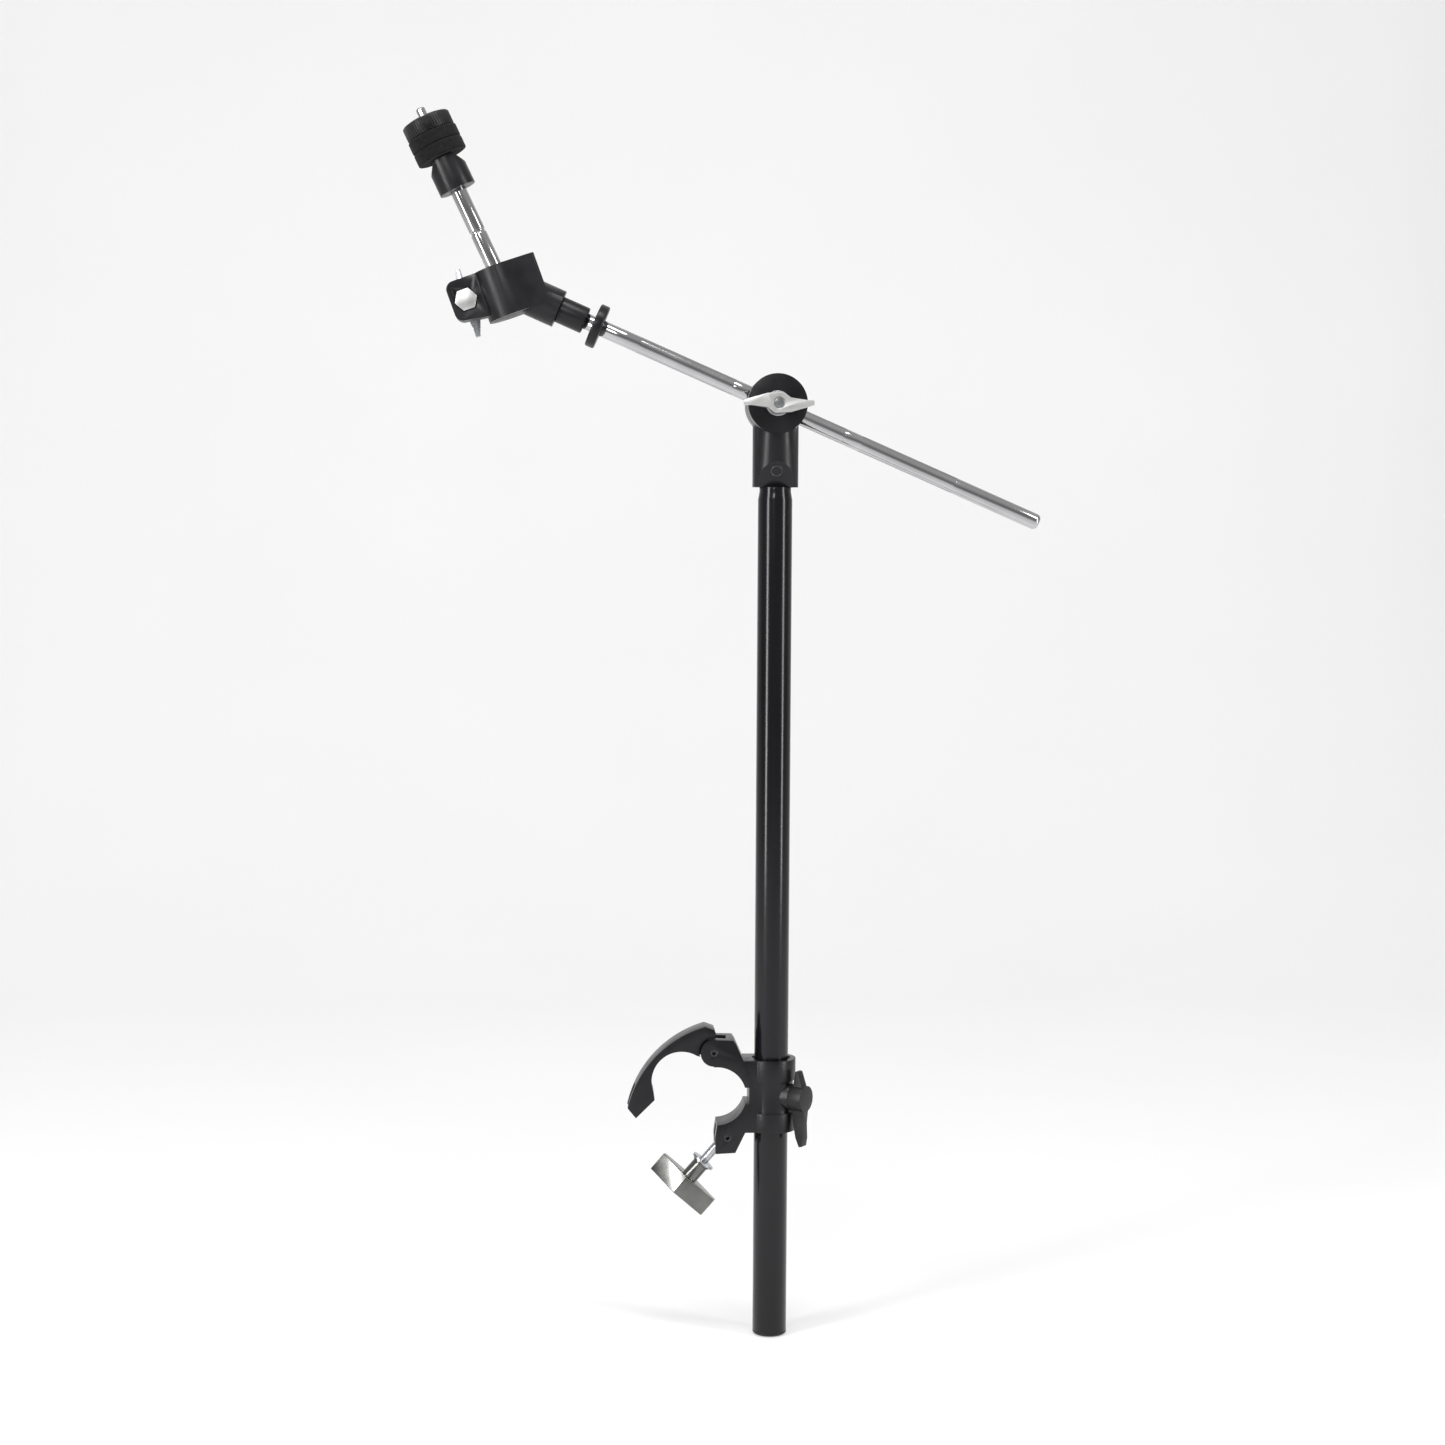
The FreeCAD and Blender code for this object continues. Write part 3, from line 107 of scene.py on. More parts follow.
def finish(name, dark, light, metallic, smooth, rough, grain, relief, depth, stretch=(1, 1, 1)):
    """Principled finish whose colour and gloss wander between two values.

    `grain` and `relief` are noise scales, `depth` is the relief's height in metres.
    """
    material = bpy.data.materials.new(name)
    material.use_nodes = True
    nodes, links = material.node_tree.nodes, material.node_tree.links
    shader = nodes["Principled BSDF"]
    shader.inputs["Metallic"].default_value = metallic
    place = nodes.new("ShaderNodeTexCoord")
    mapping = nodes.new("ShaderNodeMapping")
    mapping.inputs["Scale"].default_value = stretch
    links.new(place.outputs["Object"], mapping.inputs["Vector"])
    clouds = nodes.new("ShaderNodeTexNoise")
    clouds.inputs["Scale"].default_value = grain
    clouds.inputs["Detail"].default_value = 5
    links.new(mapping.outputs["Vector"], clouds.inputs["Vector"])
    colour = nodes.new("ShaderNodeValToRGB")
    for stop, position, tone in zip(
        colour.color_ramp.elements, (CLOUD_LOW, CLOUD_HIGH), (dark, light)
    ):
        stop.position = position
        stop.color = (*tone, 1)
    links.new(clouds.outputs["Fac"], colour.inputs["Fac"])
    links.new(colour.outputs["Color"], shader.inputs["Base Color"])
    gloss = nodes.new("ShaderNodeMapRange")
    gloss.inputs["From Min"].default_value = CLOUD_LOW
    gloss.inputs["From Max"].default_value = CLOUD_HIGH
    gloss.inputs["To Min"].default_value = smooth
    gloss.inputs["To Max"].default_value = rough
    links.new(clouds.outputs["Fac"], gloss.inputs["Value"])
    links.new(gloss.outputs["Result"], shader.inputs["Roughness"])
    skin = nodes.new("ShaderNodeTexNoise")
    skin.inputs["Scale"].default_value = relief
    skin.inputs["Detail"].default_value = 3
    links.new(mapping.outputs["Vector"], skin.inputs["Vector"])
    bump = nodes.new("ShaderNodeBump")
    bump.inputs["Strength"].default_value = RELIEF_STRENGTH
    bump.inputs["Distance"].default_value = depth
    links.new(skin.outputs["Fac"], bump.inputs["Height"])
    links.new(bump.outputs["Normal"], shader.inputs["Normal"])
    return material


# %% [markdown]
# The clamp, the tilter and the ball clamp are die castings under a satin black coat. The coat is
# slightly pebbled, so its highlights break up. The pipe has the same colour but a smoother skin,
# with its noise stretched along the pipe as a drawn tube has it. The castings' shine is lowered a
# little, because paint over a rough casting never mirrors as glass does.

# %% Black finishes
FINISH = {
    "cast_black": finish(
        "cast_black", dark=(0.004, 0.004, 0.005), light=(0.009, 0.009, 0.011), metallic=0.0,
        smooth=0.26, rough=0.38, grain=60, relief=900, depth=0.00012,
    ),
    "pipe_black": finish(
        "pipe_black", dark=(0.003, 0.003, 0.004), light=(0.007, 0.007, 0.009), metallic=0.0,
        smooth=0.14, rough=0.20, grain=40, relief=1400, depth=0.00002, stretch=(1, 1, 0.15),
    ),
    "black_plastic": finish(
        "black_plastic", dark=(0.005, 0.005, 0.006), light=(0.011, 0.011, 0.012), metallic=0.0,
        smooth=0.34, rough=0.5, grain=90, relief=1100, depth=0.00010,
    ),
    "nylon": finish(
        "nylon", dark=(0.014, 0.014, 0.016), light=(0.026, 0.026, 0.028), metallic=0.0,
        smooth=0.42, rough=0.55, grain=120, relief=900, depth=0.00006,
    ),
}
for name in ("cast_black", "pipe_black", "black_plastic"):
    coat = FINISH[name].node_tree.nodes["Principled BSDF"]
    coat.inputs["Specular IOR Level"].default_value = 0.35
print("black finishes:", ", ".join(FINISH))

# %% [markdown]
# Chrome is a bright mirror with faint smears. A knurled band is the same metal, but its many small
# faces scatter the light, so it looks darker and matt. The knob is plated but duller, the front wing
# nut and the bolt's head are a bright satin, and the pin ends sit in shadow, so their steel gets
# that shade painted in as a dark colour, which the nut's core and the socket's ring wear too.

# %% Metal finishes
FINISH.update({
    "chrome": finish(
        "chrome", dark=(0.50, 0.50, 0.51), light=(0.58, 0.58, 0.59), metallic=1.0,
        smooth=0.07, rough=0.12, grain=50, relief=300, depth=0.000001,
    ),
    "knurled_chrome": finish(
        "knurled_chrome", dark=(0.25, 0.26, 0.27), light=(0.32, 0.33, 0.34), metallic=1.0,
        smooth=0.42, rough=0.54, grain=120, relief=700, depth=0.00003,
    ),
    "nickel": finish(
        "nickel", dark=(0.15, 0.15, 0.145), light=(0.20, 0.20, 0.19), metallic=1.0,
        smooth=0.18, rough=0.26, grain=90, relief=500, depth=0.00002,
    ),
    "bright_nickel": finish(
        "bright_nickel", dark=(0.70, 0.70, 0.69), light=(0.80, 0.80, 0.79), metallic=1.0,
        smooth=0.30, rough=0.42, grain=90, relief=500, depth=0.00004,
    ),
    "steel": finish(
        "steel", dark=(0.40, 0.41, 0.43), light=(0.54, 0.55, 0.57), metallic=1.0,
        smooth=0.22, rough=0.35, grain=150, relief=900, depth=0.00004,
    ),
    # painted shade: a dark steel colour stands in for the shadow the pin ends sit in
    "painted_shade_steel": finish(
        "painted_shade_steel", dark=(0.05, 0.05, 0.055), light=(0.10, 0.10, 0.11), metallic=1.0,
        smooth=0.30, rough=0.42, grain=150, relief=900, depth=0.00004,
    ),
})
print("with metals:", len(FINISH), "finishes")

# %% [markdown]
# Felt is pressed wool. It has no shine at all, only a thin halo where the light grazes its fibres,
# which is what the sheen of the shader is for.

# %% Felt
FINISH["felt"] = finish(
    "felt", dark=(0.003, 0.003, 0.0035), light=(0.010, 0.010, 0.011), metallic=0.0,
    smooth=0.9, rough=1.0, grain=420, relief=1800, depth=0.0006,
)
wool = FINISH["felt"].node_tree.nodes["Principled BSDF"]
wool.inputs["Sheen Weight"].default_value = 0.05
wool.inputs["Sheen Roughness"].default_value = 0.6
wool.inputs["Specular IOR Level"].default_value = 0.15
print("finishes:", ", ".join(FINISH))

# %% [markdown]
# ## Turning bmesh shapes into pieces
# A finished piece needs the same few steps each time: close the normals, shade it smooth but keep
# the crisp edges, give it its finish, hang it on the body it rides on, and hide the mechanical node
# it stands for. One function does this, so that no piece can miss a step. A few pieces look
# different from the others of their metal, and LOOK says which finish they wear.

# %% Finish a piece
CRISP_ANGLE = 35
record = frame["record"]
SLOT = {row["node"]: row["material_slot"] for row in record["subparts"]}
BODY = {node: body for body, names in record["behaviour"]["bodies"].items() for node in names}
LOOK = {
    "tilter_wing_nut": "bright_nickel", "draw_bolt": "bright_nickel", "draw_wing_nut": "steel",
    # the pins, the nut's core and the socket's ring wear the steel with painted shade
    "jaw_hinge_pin": "painted_shade_steel", "swing_bolt_pin": "painted_shade_steel", "nut_core": "painted_shade_steel",
    "socket_ring": "painted_shade_steel",
}
made = []


def show(shape, node, crisp=CRISP_ANGLE):
    """Turn a bmesh (metres) into the piece that stands for `node`."""
    bmesh.ops.remove_doubles(shape, verts=shape.verts, dist=1e-7)
    bmesh.ops.recalc_face_normals(shape, faces=shape.faces)
    mesh = bpy.data.meshes.new(node + "_look")
    shape.to_mesh(mesh)
    shape.free()
    mesh.shade_smooth()
    mesh.set_sharp_from_angle(angle=math.radians(crisp))
    piece = bpy.data.objects.new(node + "_look", mesh)
    bpy.context.scene.collection.objects.link(piece)
    mesh.materials.append(FINISH[LOOK.get(node, SLOT[node])])
    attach(piece, BODY[node])
    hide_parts(node)
    made.append(node)
    return piece


print("pieces to make:", len(SLOT))

# %% [markdown]
# ## Soft edges
# A real edge is never perfectly sharp: a casting has a radius, a turned part has a small break.
# These edges catch the light and do more for realism than any texture. The mechanical nodes have
# the right shapes but sharp edges, so a copy is merged, its flat faces are cleaned and the edges
# between faces that meet at a clear angle are bevelled.

# %% Copy a mechanical node and soften its edges
SHARP_ANGLE = 28


def copy_of(node):
    """The mechanical node as a clean bmesh of its own."""
    shape = bmesh.new()
    shape.from_mesh(frame["nodes"][node].data)
    bmesh.ops.remove_doubles(shape, verts=shape.verts, dist=2e-6)
    bmesh.ops.dissolve_limit(
        shape, angle_limit=math.radians(1.0), verts=shape.verts, edges=shape.edges,
        use_dissolve_boundaries=False,
    )
    return shape


def soften(shape, edges, width, segments):
    """Bevel `edges` to a radius; width in mm."""
    bmesh.ops.bevel(
        shape, geom=edges, offset=width * MM, offset_type="OFFSET", affect="EDGES",
        segments=segments, profile=0.5, material=-1, clamp_overlap=True,
    )


def dress(shape, node, width):
    """Soften every sharp edge of `shape` by `width` mm and show it as `node`."""
    limit = math.radians(SHARP_ANGLE)
    edges = [e for e in shape.edges if len(e.link_faces) == 2 and e.calc_face_angle(0) > limit]
    soften(shape, edges, width, segments=3)
    return show(shape, node)


def dress_all(radii):
    """Dress a copy of each node with its own edge radius in mm."""
    for node, width in radii.items():
        dress(copy_of(node), node, width)
    print("softened:", ", ".join(radii))


# %% [markdown]
# ## The rack clamp
# Two die castings close round the rack's tube: the body with its saddle, and a jaw that swings on a
# pin. A bolt with a lozenge knob pulls the jaw shut. Castings get a radius of most of a millimetre,
# machined pins and bolts only a small break, and the knob, which a hand turns, the largest.

# %% Clamp, jaw, swing bolt and knob
dress_all({
    "clamp_body": 0.7, "clamp_jaw": 0.8, "swing_bolt": 0.25, "knob_washer": 0.25,
    "jaw_hinge_pin": 0.2, "swing_bolt_pin": 0.2, "clamp_knob": 1.2,
})

# %% [markdown]
# ## The pipe and the sleeve that holds it
# The clamp's sleeve has a nylon liner, so that the pipe slides without scratching. A wing bolt with
# a nylon pad presses on it. The wing is moulded plastic, which always has generous radii.

# %% Pipe, liner and wing bolt
dress_all({
    "pipe_liner": 0.2, "sleeve_insert": 0.2, "pressure_pad": 0.15, "sleeve_stud": 0.2,
    "sleeve_wing": 1.0, "main_pipe": 0.15, "pipe_end_plug": 0.3,
})

# %% [markdown]
# ## The tilter
# The socket casting sits on the pipe and ends in a disc. The boom holder is the second disc, and an
# eye bolt with a wing nut pulls the two together and grips the boom at the same time. The socket's
# facet carries a small plain ring.

# %% Tilter
dress_all({
    "tilter_socket": 0.7, "boom_holder": 0.6, "tilter_eye_bolt": 0.3, "split_bush": 0.2,
    "tilter_washer": 0.25, "tilter_wing_nut": 0.6, "socket_ring": 0.1,
})

# %% [markdown]
# ## The ball clamp
# The ball clamp is one casting: a collar round the ball, two ears with a bolt through them, and a
# boss for the boom. Its foot is bowl-shaped, so the collar's outer lower edge gets a far larger
# radius than the rest. Only that edge is picked, by its height and its distance from the axis, and
# it is bevelled first, while it still is one clean ring.

# %% Ball clamp
FOOT_HEIGHT, FOOT_RADIUS, RING_FROM = -16.0, 3.5, 15.5


def foot_edges(shape):
    """Edges of the ring round the ball clamp's foot."""
    upright = CLAMP_LINE.inverted()
    edges = []
    for edge in shape.edges:
        ends = [upright @ vertex.co / MM for vertex in edge.verts]
        low = all(abs(end.z - FOOT_HEIGHT) < 0.05 and end.xy.length > RING_FROM for end in ends)
        if low and len(edge.link_faces) == 2 and edge.calc_face_angle(0) > 1.0:
            edges.append(edge)
    return edges


collar = copy_of("ball_clamp")
ring = foot_edges(collar)
print("edges round the foot:", len(ring))
soften(collar, ring, FOOT_RADIUS, segments=5)
dress(collar, "ball_clamp", 0.7)
dress_all({
    "boom_coupling": 0.3, "draw_bolt": 0.3, "draw_washer": 0.25, "draw_wing_nut": 0.6,
    "ball_seat": 0.2, "ball_clamp_plug": 0.2,
})

# %% [markdown]
# ## The small pieces on the two rods
# The boom carries a lock ring and a pin through its free end. The cymbal rod stands on its ball and
# carries a stopper with a set screw and a plastic sleeve that keeps the cymbal off the metal.

# %% Fittings of the boom and the cymbal rod
dress_all({
    "rod_stop_pin": 0.15, "boom_lock_ring": 0.4, "pivot_ball": 0.15, "cymbal_rod": 0.15,
    "cymbal_stopper": 0.4, "stopper_set_screw": 0.15, "cymbal_sleeve": 0.2, "nut_core": 0.15,
})
print("softened copies:", len(made))

# %% [markdown]
# ## The boom rod
# The rod is chromed steel with three knurled bands for the tilter to bite on. A knurl is a mesh of
# small diamonds. We turn the rod from one profile with close rows inside the bands, and then lower
# every second vertex there, like the squares of a chessboard. The diamonds are then real relief.

# %% Turn a profile


def turn(profile, steps):
    """Spin (radius, height) points in mm round Z into a closed turned shape in metres."""
    shape = bmesh.new()
    points = [shape.verts.new((across * MM, 0, up * MM)) for across, up in profile]
    chain = [shape.edges.new(pair) for pair in zip(points, points[1:])]
    if profile[0][0] > 0:
        chain.append(shape.edges.new((points[-1], points[0])))
    bmesh.ops.spin(
        shape, geom=points + chain, cent=(0, 0, 0), axis=(0, 0, 1), dvec=(0, 0, 0),
        angle=2 * math.pi, steps=steps, use_merge=True, use_duplicate=False,
    )
    bmesh.ops.remove_doubles(shape, verts=shape.verts, dist=1e-7)
    bmesh.ops.recalc_face_normals(shape, faces=shape.faces)
    return shape


def column_of(vertex, columns):
    """Which of the `columns` round Z a vertex stands in."""
    return round(math.atan2(vertex.co.y, vertex.co.x) / (2 * math.pi) * columns)


# %% [markdown]
# The profile starts at the threaded stud, which screws into the coupling. Its thread is a zigzag of
# rings, deep enough to be read as a thread where it shows in the gap.

# %% The rod's profile
ROD_RADIUS = 5.25
SHOULDER, FREE_END = -133.0, 187.7
STUD_RADIUS, STUD_LENGTH, STUD_CHAMFER = 4.0, 13, 0.8
THREAD_DEPTH, THREAD_STEP, THREAD_ROWS, THREAD_FROM = 0.35, 1.1, 11, 11.8
FIRST_BAND, BAND_LENGTH, BAND_EVERY = -96.3, 67.5, 78.3
KNURL_PITCH = 0.62
BANDS = [
    (FIRST_BAND + BAND_EVERY * band, FIRST_BAND + BAND_LENGTH + BAND_EVERY * band)
    for band in range(3)
]

profile = [
    (0, SHOULDER - STUD_LENGTH),
    (STUD_RADIUS - STUD_CHAMFER, SHOULDER - STUD_LENGTH),
    (STUD_RADIUS, SHOULDER - STUD_LENGTH + STUD_CHAMFER),
]
profile += [
    (STUD_RADIUS - THREAD_DEPTH * (row % 2), SHOULDER - THREAD_FROM + row * THREAD_STEP)
    for row in range(THREAD_ROWS)
]
profile += [(STUD_RADIUS, SHOULDER), (ROD_RADIUS - 0.2, SHOULDER), (ROD_RADIUS, SHOULDER + 0.2)]
for start, end in BANDS:
    rows = round((end - start) / KNURL_PITCH)
    profile += [(ROD_RADIUS, start + (end - start) * row / rows) for row in range(rows + 1)]
profile += [(ROD_RADIUS, FREE_END - 2.4), (ROD_RADIUS - 0.5, FREE_END - 0.8)]
profile += [(ROD_RADIUS - 1.6, FREE_END), (0, FREE_END)]
print("points in the rod's profile:", len(profile))

# %% [markdown]
# A vertex keeps the skin's radius or sinks to the knurl's valley, by whether its row and column add
# up to an odd or an even number. The bands then get their own finish, face by face.

# %% The knurled rod
KNURL_STEPS = 54
KNURL_PEAK, KNURL_VALLEY = 0.02, 0.34

rod = turn(profile, KNURL_STEPS)
for vertex in rod.verts:
    height = vertex.co.z / MM
    for start, end in BANDS:
        if start + 0.1 < height < end - 0.1:
            rows = round((end - start) / KNURL_PITCH)
            row = round((height - start) * rows / (end - start))
            odd = (row + column_of(vertex, KNURL_STEPS)) % 2
            reach = ROD_RADIUS - (KNURL_PEAK if odd else KNURL_VALLEY)
            vertex.co.xy = vertex.co.xy.normalized() * reach * MM
for face in rod.faces:
    height = face.calc_center_median().z / MM
    face.material_index = int(any(start < height < end for start, end in BANDS))
rod.transform(BOOM_LINE)
boom = show(rod, "boom_rod", crisp=60)
boom.data.materials.clear()
boom.data.materials.append(FINISH["chrome"])
boom.data.materials.append(FINISH["knurled_chrome"])
print("knurl columns:", KNURL_STEPS, "faces:", len(boom.data.polygons))

# %% [markdown]
# ## The felts
# Two wool discs cushion the cymbal. Felt is cut, not moulded, so its edge is slightly uneven and its
# face is soft. We turn a disc with rounded corners, divide it finely and push the skin in by a
# fraction of a millimetre with noise. The fibres themselves are left to the finish.

# %% The outline of a felt
FELT_BORE, FELT_RADIUS, FELT_THICK = 5.81, 16.5, 8.3
CORNER, SKIN = 1.1, 0.05
FACE_STEPS, SIDE_STEPS, ARC_STEPS = 10, 8, 6


def rim_arc(level, start):
    """Quarter round at the rim, from `start` degrees, centred at height `level`."""
    arc = []
    for step in range(1, ARC_STEPS):
        angle = math.radians(start + 90 * step / ARC_STEPS)
        arc.append((
            FELT_RADIUS - CORNER - SKIN + CORNER * math.cos(angle),
            level + (CORNER - SKIN) * math.sin(angle),
        ))
    return arc


def felt_outline(low):
    """Closed outline of a felt whose underside is at height `low`."""
    top = low + FELT_THICK
    flat = FELT_RADIUS - CORNER - FELT_BORE - 1
    face = [FELT_BORE + 1 + flat * step / FACE_STEPS for step in range(FACE_STEPS + 1)]
    side = [
        low + CORNER + (FELT_THICK - 2 * CORNER) * step / SIDE_STEPS
        for step in range(SIDE_STEPS + 1)
    ]
    outline = [(FELT_BORE, low + 0.3), (FELT_BORE + 0.4, low + SKIN)]
    outline += [(across, low + SKIN) for across in face]
    outline += rim_arc(low + CORNER, -90)
    outline += [(FELT_RADIUS - SKIN, up) for up in side]
    outline += rim_arc(top - CORNER, 0)
    outline += [(across, top - SKIN) for across in reversed(face)]
    outline += [(FELT_BORE + 0.4, top - SKIN), (FELT_BORE, top - 0.3)]
    return outline


print("points in a felt's outline:", len(felt_outline(0)))

# %% [markdown]
# Two layers of noise, a slow one and a quick one, make the cut edge uneven. They only ever push
# inwards, so the felt stays inside its true size and off its neighbours.

# %% Two felt discs
FELT_COLUMNS = 120
STOPPER_TOP = 92.8


def felt(node, low):
    """Turn a felt, roughen it and lay it on the cymbal rod."""
    shape = turn(felt_outline(low), FELT_COLUMNS)
    for vertex in shape.verts:
        if vertex.co.xy.length / MM > FELT_BORE + 0.6:
            push = noise.noise(vertex.co * 900) * 0.16 + noise.noise(vertex.co * 2600) * 0.10
            vertex.co -= vertex.normal * abs(push) * MM
    shape.transform(ROD_LINE)
    show(shape, node, crisp=180)


felt("lower_felt", STOPPER_TOP)
felt("upper_felt", STOPPER_TOP + FELT_THICK)
print("felts stand on a stopper whose top is at", STOPPER_TOP, "mm")

# %% [markdown]
# ## The cymbal nut
# The black nut is moulded with fine upright ribs round its edge for the fingers. A turned shape gets
# them for free: with four columns to a rib, two of the four are drawn in a little.

# %% The ribbed nut
NUT_FOOT, NUT_HEIGHT, NUT_RADIUS = 109.45, 11.4, 15.85
NUT_BORE, CORE_RADIUS, CORE_HEIGHT = 3.06, 5.0, 9.0
RIBS, RIB_DEPTH, RIM = 60, 0.45, 0.4
top = NUT_FOOT + NUT_HEIGHT
nut = turn(
    [
        (CORE_RADIUS, NUT_FOOT), (NUT_RADIUS - 0.9, NUT_FOOT), (NUT_RADIUS - 0.3, NUT_FOOT + 0.25),
        (NUT_RADIUS, NUT_FOOT + 0.8), (NUT_RADIUS, top - 2.9), (NUT_RADIUS - 0.25, top - 2.3),
        (NUT_RADIUS - 1.2, top - 1.6), (11.6, top - 0.75), (8.5, top - 0.25), (5.5, top - 0.04),
        (4.2, top - 0.1), (NUT_BORE, top - 0.4), (NUT_BORE, NUT_FOOT + CORE_HEIGHT),
        (CORE_RADIUS, NUT_FOOT + CORE_HEIGHT),
    ],
    RIBS * 4,
)
for vertex in nut.verts:
    across = vertex.co.xy.length
    if across / MM > NUT_RADIUS - RIM and column_of(vertex, RIBS * 4) % 4 in (2, 3):
        vertex.co.xy = vertex.co.xy.normalized() * (across - RIB_DEPTH * MM)
nut.transform(ROD_LINE)
show(nut, "cymbal_nut", crisp=30)
print("ribs round the nut:", RIBS, "pieces made:", len(made))

# %% [markdown]
# ## The sweep
# A pale sweep runs from the floor up behind the arm, so there is no horizon. It is a single line of
# edges, bent through a quarter circle and drawn out sideways.

# %% Draw out the sweep
FLOOR_GAP = 0.0005
FLOOR_REACH, BEND_FROM, BEND_RADIUS, WALL_HEIGHT, BEND_STEPS = 14.0, 1.2, 0.8, 3.6, 8
floor_z = frame_box[0][2] - FLOOR_GAP
path = [(-FLOOR_REACH, 0.0), (BEND_FROM, 0.0)]
for step in range(1, BEND_STEPS + 1):
    angle = math.pi / 2 * step / BEND_STEPS
    path.append((
        BEND_FROM + BEND_RADIUS * math.sin(angle), BEND_RADIUS - BEND_RADIUS * math.cos(angle)
    ))
path.append((BEND_FROM + BEND_RADIUS, WALL_HEIGHT))
sweep = bmesh.new()
left = [sweep.verts.new((-FLOOR_REACH, y, z + floor_z)) for y, z in path]
edges = [sweep.edges.new(pair) for pair in zip(left, left[1:])]
grown = bmesh.ops.extrude_edge_only(sweep, edges=edges)
moved = [item for item in grown["geom"] if isinstance(item, bmesh.types.BMVert)]
bmesh.ops.translate(sweep, verts=moved, vec=(2 * FLOOR_REACH, 0, 0))
sweep_mesh = bpy.data.meshes.new("studio_sweep")
sweep.to_mesh(sweep_mesh)
sweep.free()
sweep_mesh.shade_smooth()
studio = bpy.data.objects.new("studio_sweep", sweep_mesh)
bpy.context.scene.collection.objects.link(studio)
print("floor at", round(floor_z, 4), "m")

# %% [markdown]
# Real studios light the backdrop on its own, so the paper here glows a little by itself. The glow
# fades in front of the arm and far to its sides. A black pipe would otherwise mirror a white floor
# and turn grey, and the chrome would have no dark edges.

# %% The paper of the sweep


def ramp(nodes, span, values):
    """Soft step: `values` at the two ends of `span`."""
    step = nodes.new("ShaderNodeMapRange")
    step.interpolation_type = "SMOOTHSTEP"
    step.inputs["From Min"].default_value, step.inputs["From Max"].default_value = span
    step.inputs["To Min"].default_value, step.inputs["To Max"].default_value = values
    return step


paper = finish(
    "sweep_paper", dark=(0.50, 0.50, 0.50), light=(0.52, 0.52, 0.52), metallic=0.0,
    smooth=0.9, rough=0.95, grain=2, relief=30, depth=0.0002,
)
nodes, links = paper.node_tree.nodes, paper.node_tree.links
paper_shader = nodes["Principled BSDF"]
paper_shader.inputs["Specular IOR Level"].default_value = 0.1
paper_shader.inputs["Emission Strength"].default_value = 0.42
where = nodes.new("ShaderNodeSeparateXYZ")
links.new(nodes["Texture Coordinate"].outputs["Object"], where.inputs["Vector"])
behind = ramp(nodes, (-0.48, -0.24), (0.45, 1.0))
links.new(where.outputs["Y"], behind.inputs["Value"])
aside = nodes.new("ShaderNodeMath")
aside.operation = "ABSOLUTE"
links.new(where.outputs["X"], aside.inputs[0])
central = ramp(nodes, (1.0, 1.7), (1.0, 0.6))
links.new(aside.outputs["Value"], central.inputs["Value"])
glow = nodes.new("ShaderNodeMath")
glow.operation = "MULTIPLY"
links.new(behind.outputs["Result"], glow.inputs[0])
links.new(central.outputs["Result"], glow.inputs[1])
links.new(glow.outputs["Value"], paper_shader.inputs["Emission Color"])
sweep_mesh.materials.append(paper)
print("paper on the sweep:", paper.name)

# %% [markdown]
# ## Lights
# Two tall soft lights, a stronger one on the left and a weaker one on the right, give black castings
# long highlights, which is the only way that a black part shows its form. A light overhead and a
# small one in front fill the rest.

# %% Soft lights
AIM = (0.0, 0.0, 0.25)


def soft_light(name, at, width, height, power):
    """Rectangular area light at `at` that looks at the middle of the arm; power in watts."""
    lamp = bpy.data.lights.new(name, "AREA")
    lamp.shape = "RECTANGLE"
    lamp.size, lamp.size_y, lamp.energy = width, height, power
    holder = bpy.data.objects.new(name, lamp)
    holder.location = at
    holder.rotation_euler = (Vector(AIM) - Vector(at)).to_track_quat("-Z", "Y").to_euler()
    bpy.context.scene.collection.objects.link(holder)


soft_light("key", (-1.5, -1.2, 0.7), 0.35, 1.8, 26)
soft_light("fill", (1.5, -0.9, 0.6), 0.30, 1.8, 18)
soft_light("top", (-0.2, -0.6, 2.0), 1.6, 0.5, 22)
soft_light("front", (-0.5, -2.2, 1.3), 0.5, 0.5, 8)
print("lights:", len(bpy.data.lights))

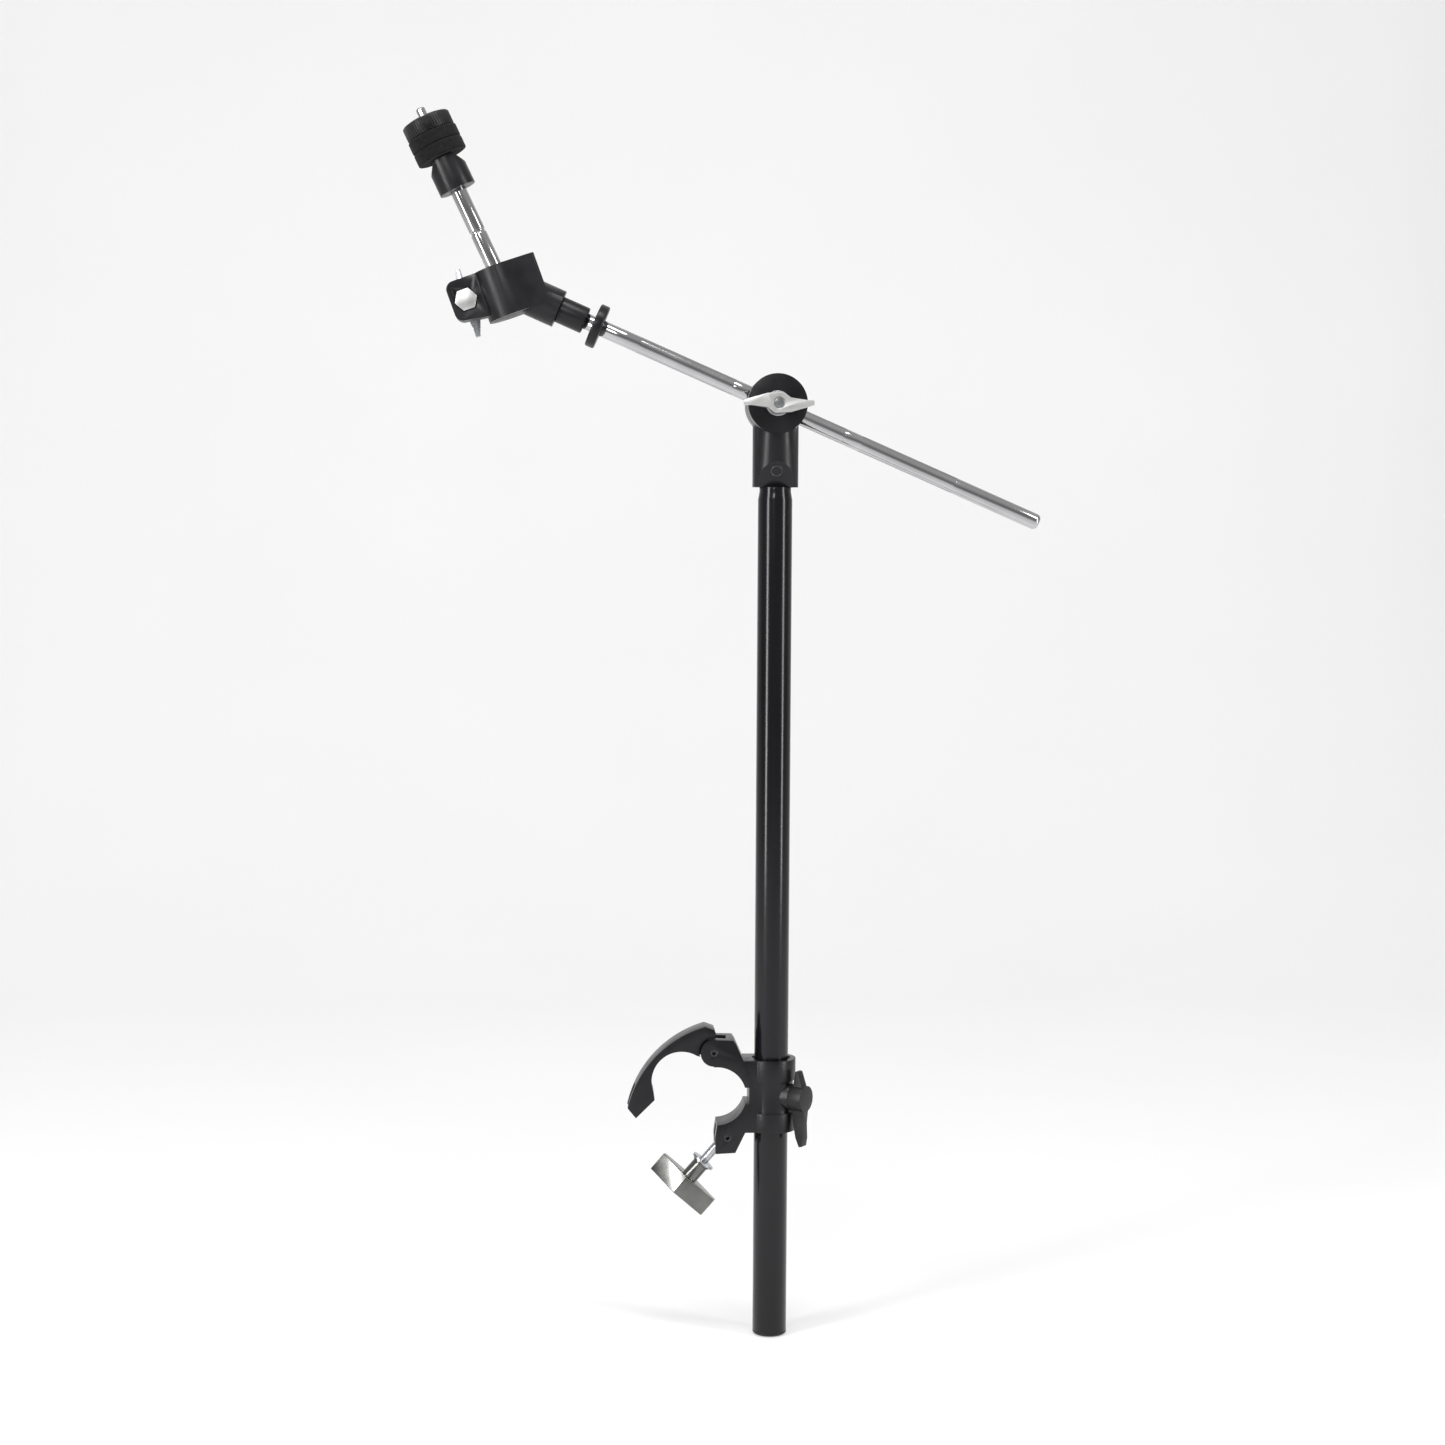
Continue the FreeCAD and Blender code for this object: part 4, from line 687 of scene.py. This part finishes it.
# %% [markdown]
# A mirror shows its surroundings, so chrome in an evenly white room looks like grey plastic. The
# room here is pale overhead and falls off to a mid grey at eye level, where the floor begins. The
# plain view transform keeps white paper white and leaves the blacks deep.

# %% The room
world = bpy.data.worlds.new("studio")
world.use_nodes = True
nodes, links = world.node_tree.nodes, world.node_tree.links
facing = nodes.new("ShaderNodeTexCoord")
direction = nodes.new("ShaderNodeSeparateXYZ")
links.new(facing.outputs["Generated"], direction.inputs["Vector"])
ceiling = ramp(nodes, (0.15, 0.75), (0.22, 0.48))
links.new(direction.outputs["Z"], ceiling.inputs["Value"])
links.new(ceiling.outputs["Result"], nodes["Background"].inputs["Color"])
nodes["Background"].inputs["Strength"].default_value = 1.0
bpy.context.scene.world = world
bpy.context.scene.view_settings.view_transform = "Standard"
print("view transform:", bpy.context.scene.view_settings.view_transform)

# %% [markdown]
# ## Camera
# A long lens stands well back and looks slightly down, so the pipe's sides stay nearly parallel. The
# three axes of the camera are built from where it looks, then turned about that line by the roll.

# %% Camera
CAMERA_AT = (-82.149, -1622.097, 359.204)
LENS, SENSOR = 62.65, 36
turned, pitch, roll = math.radians(3.0), math.radians(4.1069), math.radians(0.333)
ahead = Vector((
    math.cos(pitch) * math.sin(turned), math.cos(pitch) * math.cos(turned), -math.sin(pitch)
))
level = ahead.cross(Vector((0, 0, 1))).normalized()
upright = level.cross(ahead)
right = level * math.cos(roll) + upright * math.sin(roll)
up = upright * math.cos(roll) - level * math.sin(roll)
camera_data = bpy.data.cameras.new("view")
camera_data.sensor_width = SENSOR
camera_data.lens = LENS
camera = bpy.data.objects.new("view", camera_data)
axes = Matrix((right, up, -ahead)).transposed().to_4x4()
camera.matrix_world = Matrix.Translation(Vector(CAMERA_AT) * MM) @ axes
bpy.context.scene.collection.objects.link(camera)
bpy.context.scene.camera = camera
print("camera looks along", [round(value, 3) for value in ahead])

# %% [markdown]
# ## The mechanical box
# The dressed arm must stay inside the box of the mechanical one. We print that box.

# %% Sizes
print("frame box", [[round(v, 4) for v in c] for c in frame_box])
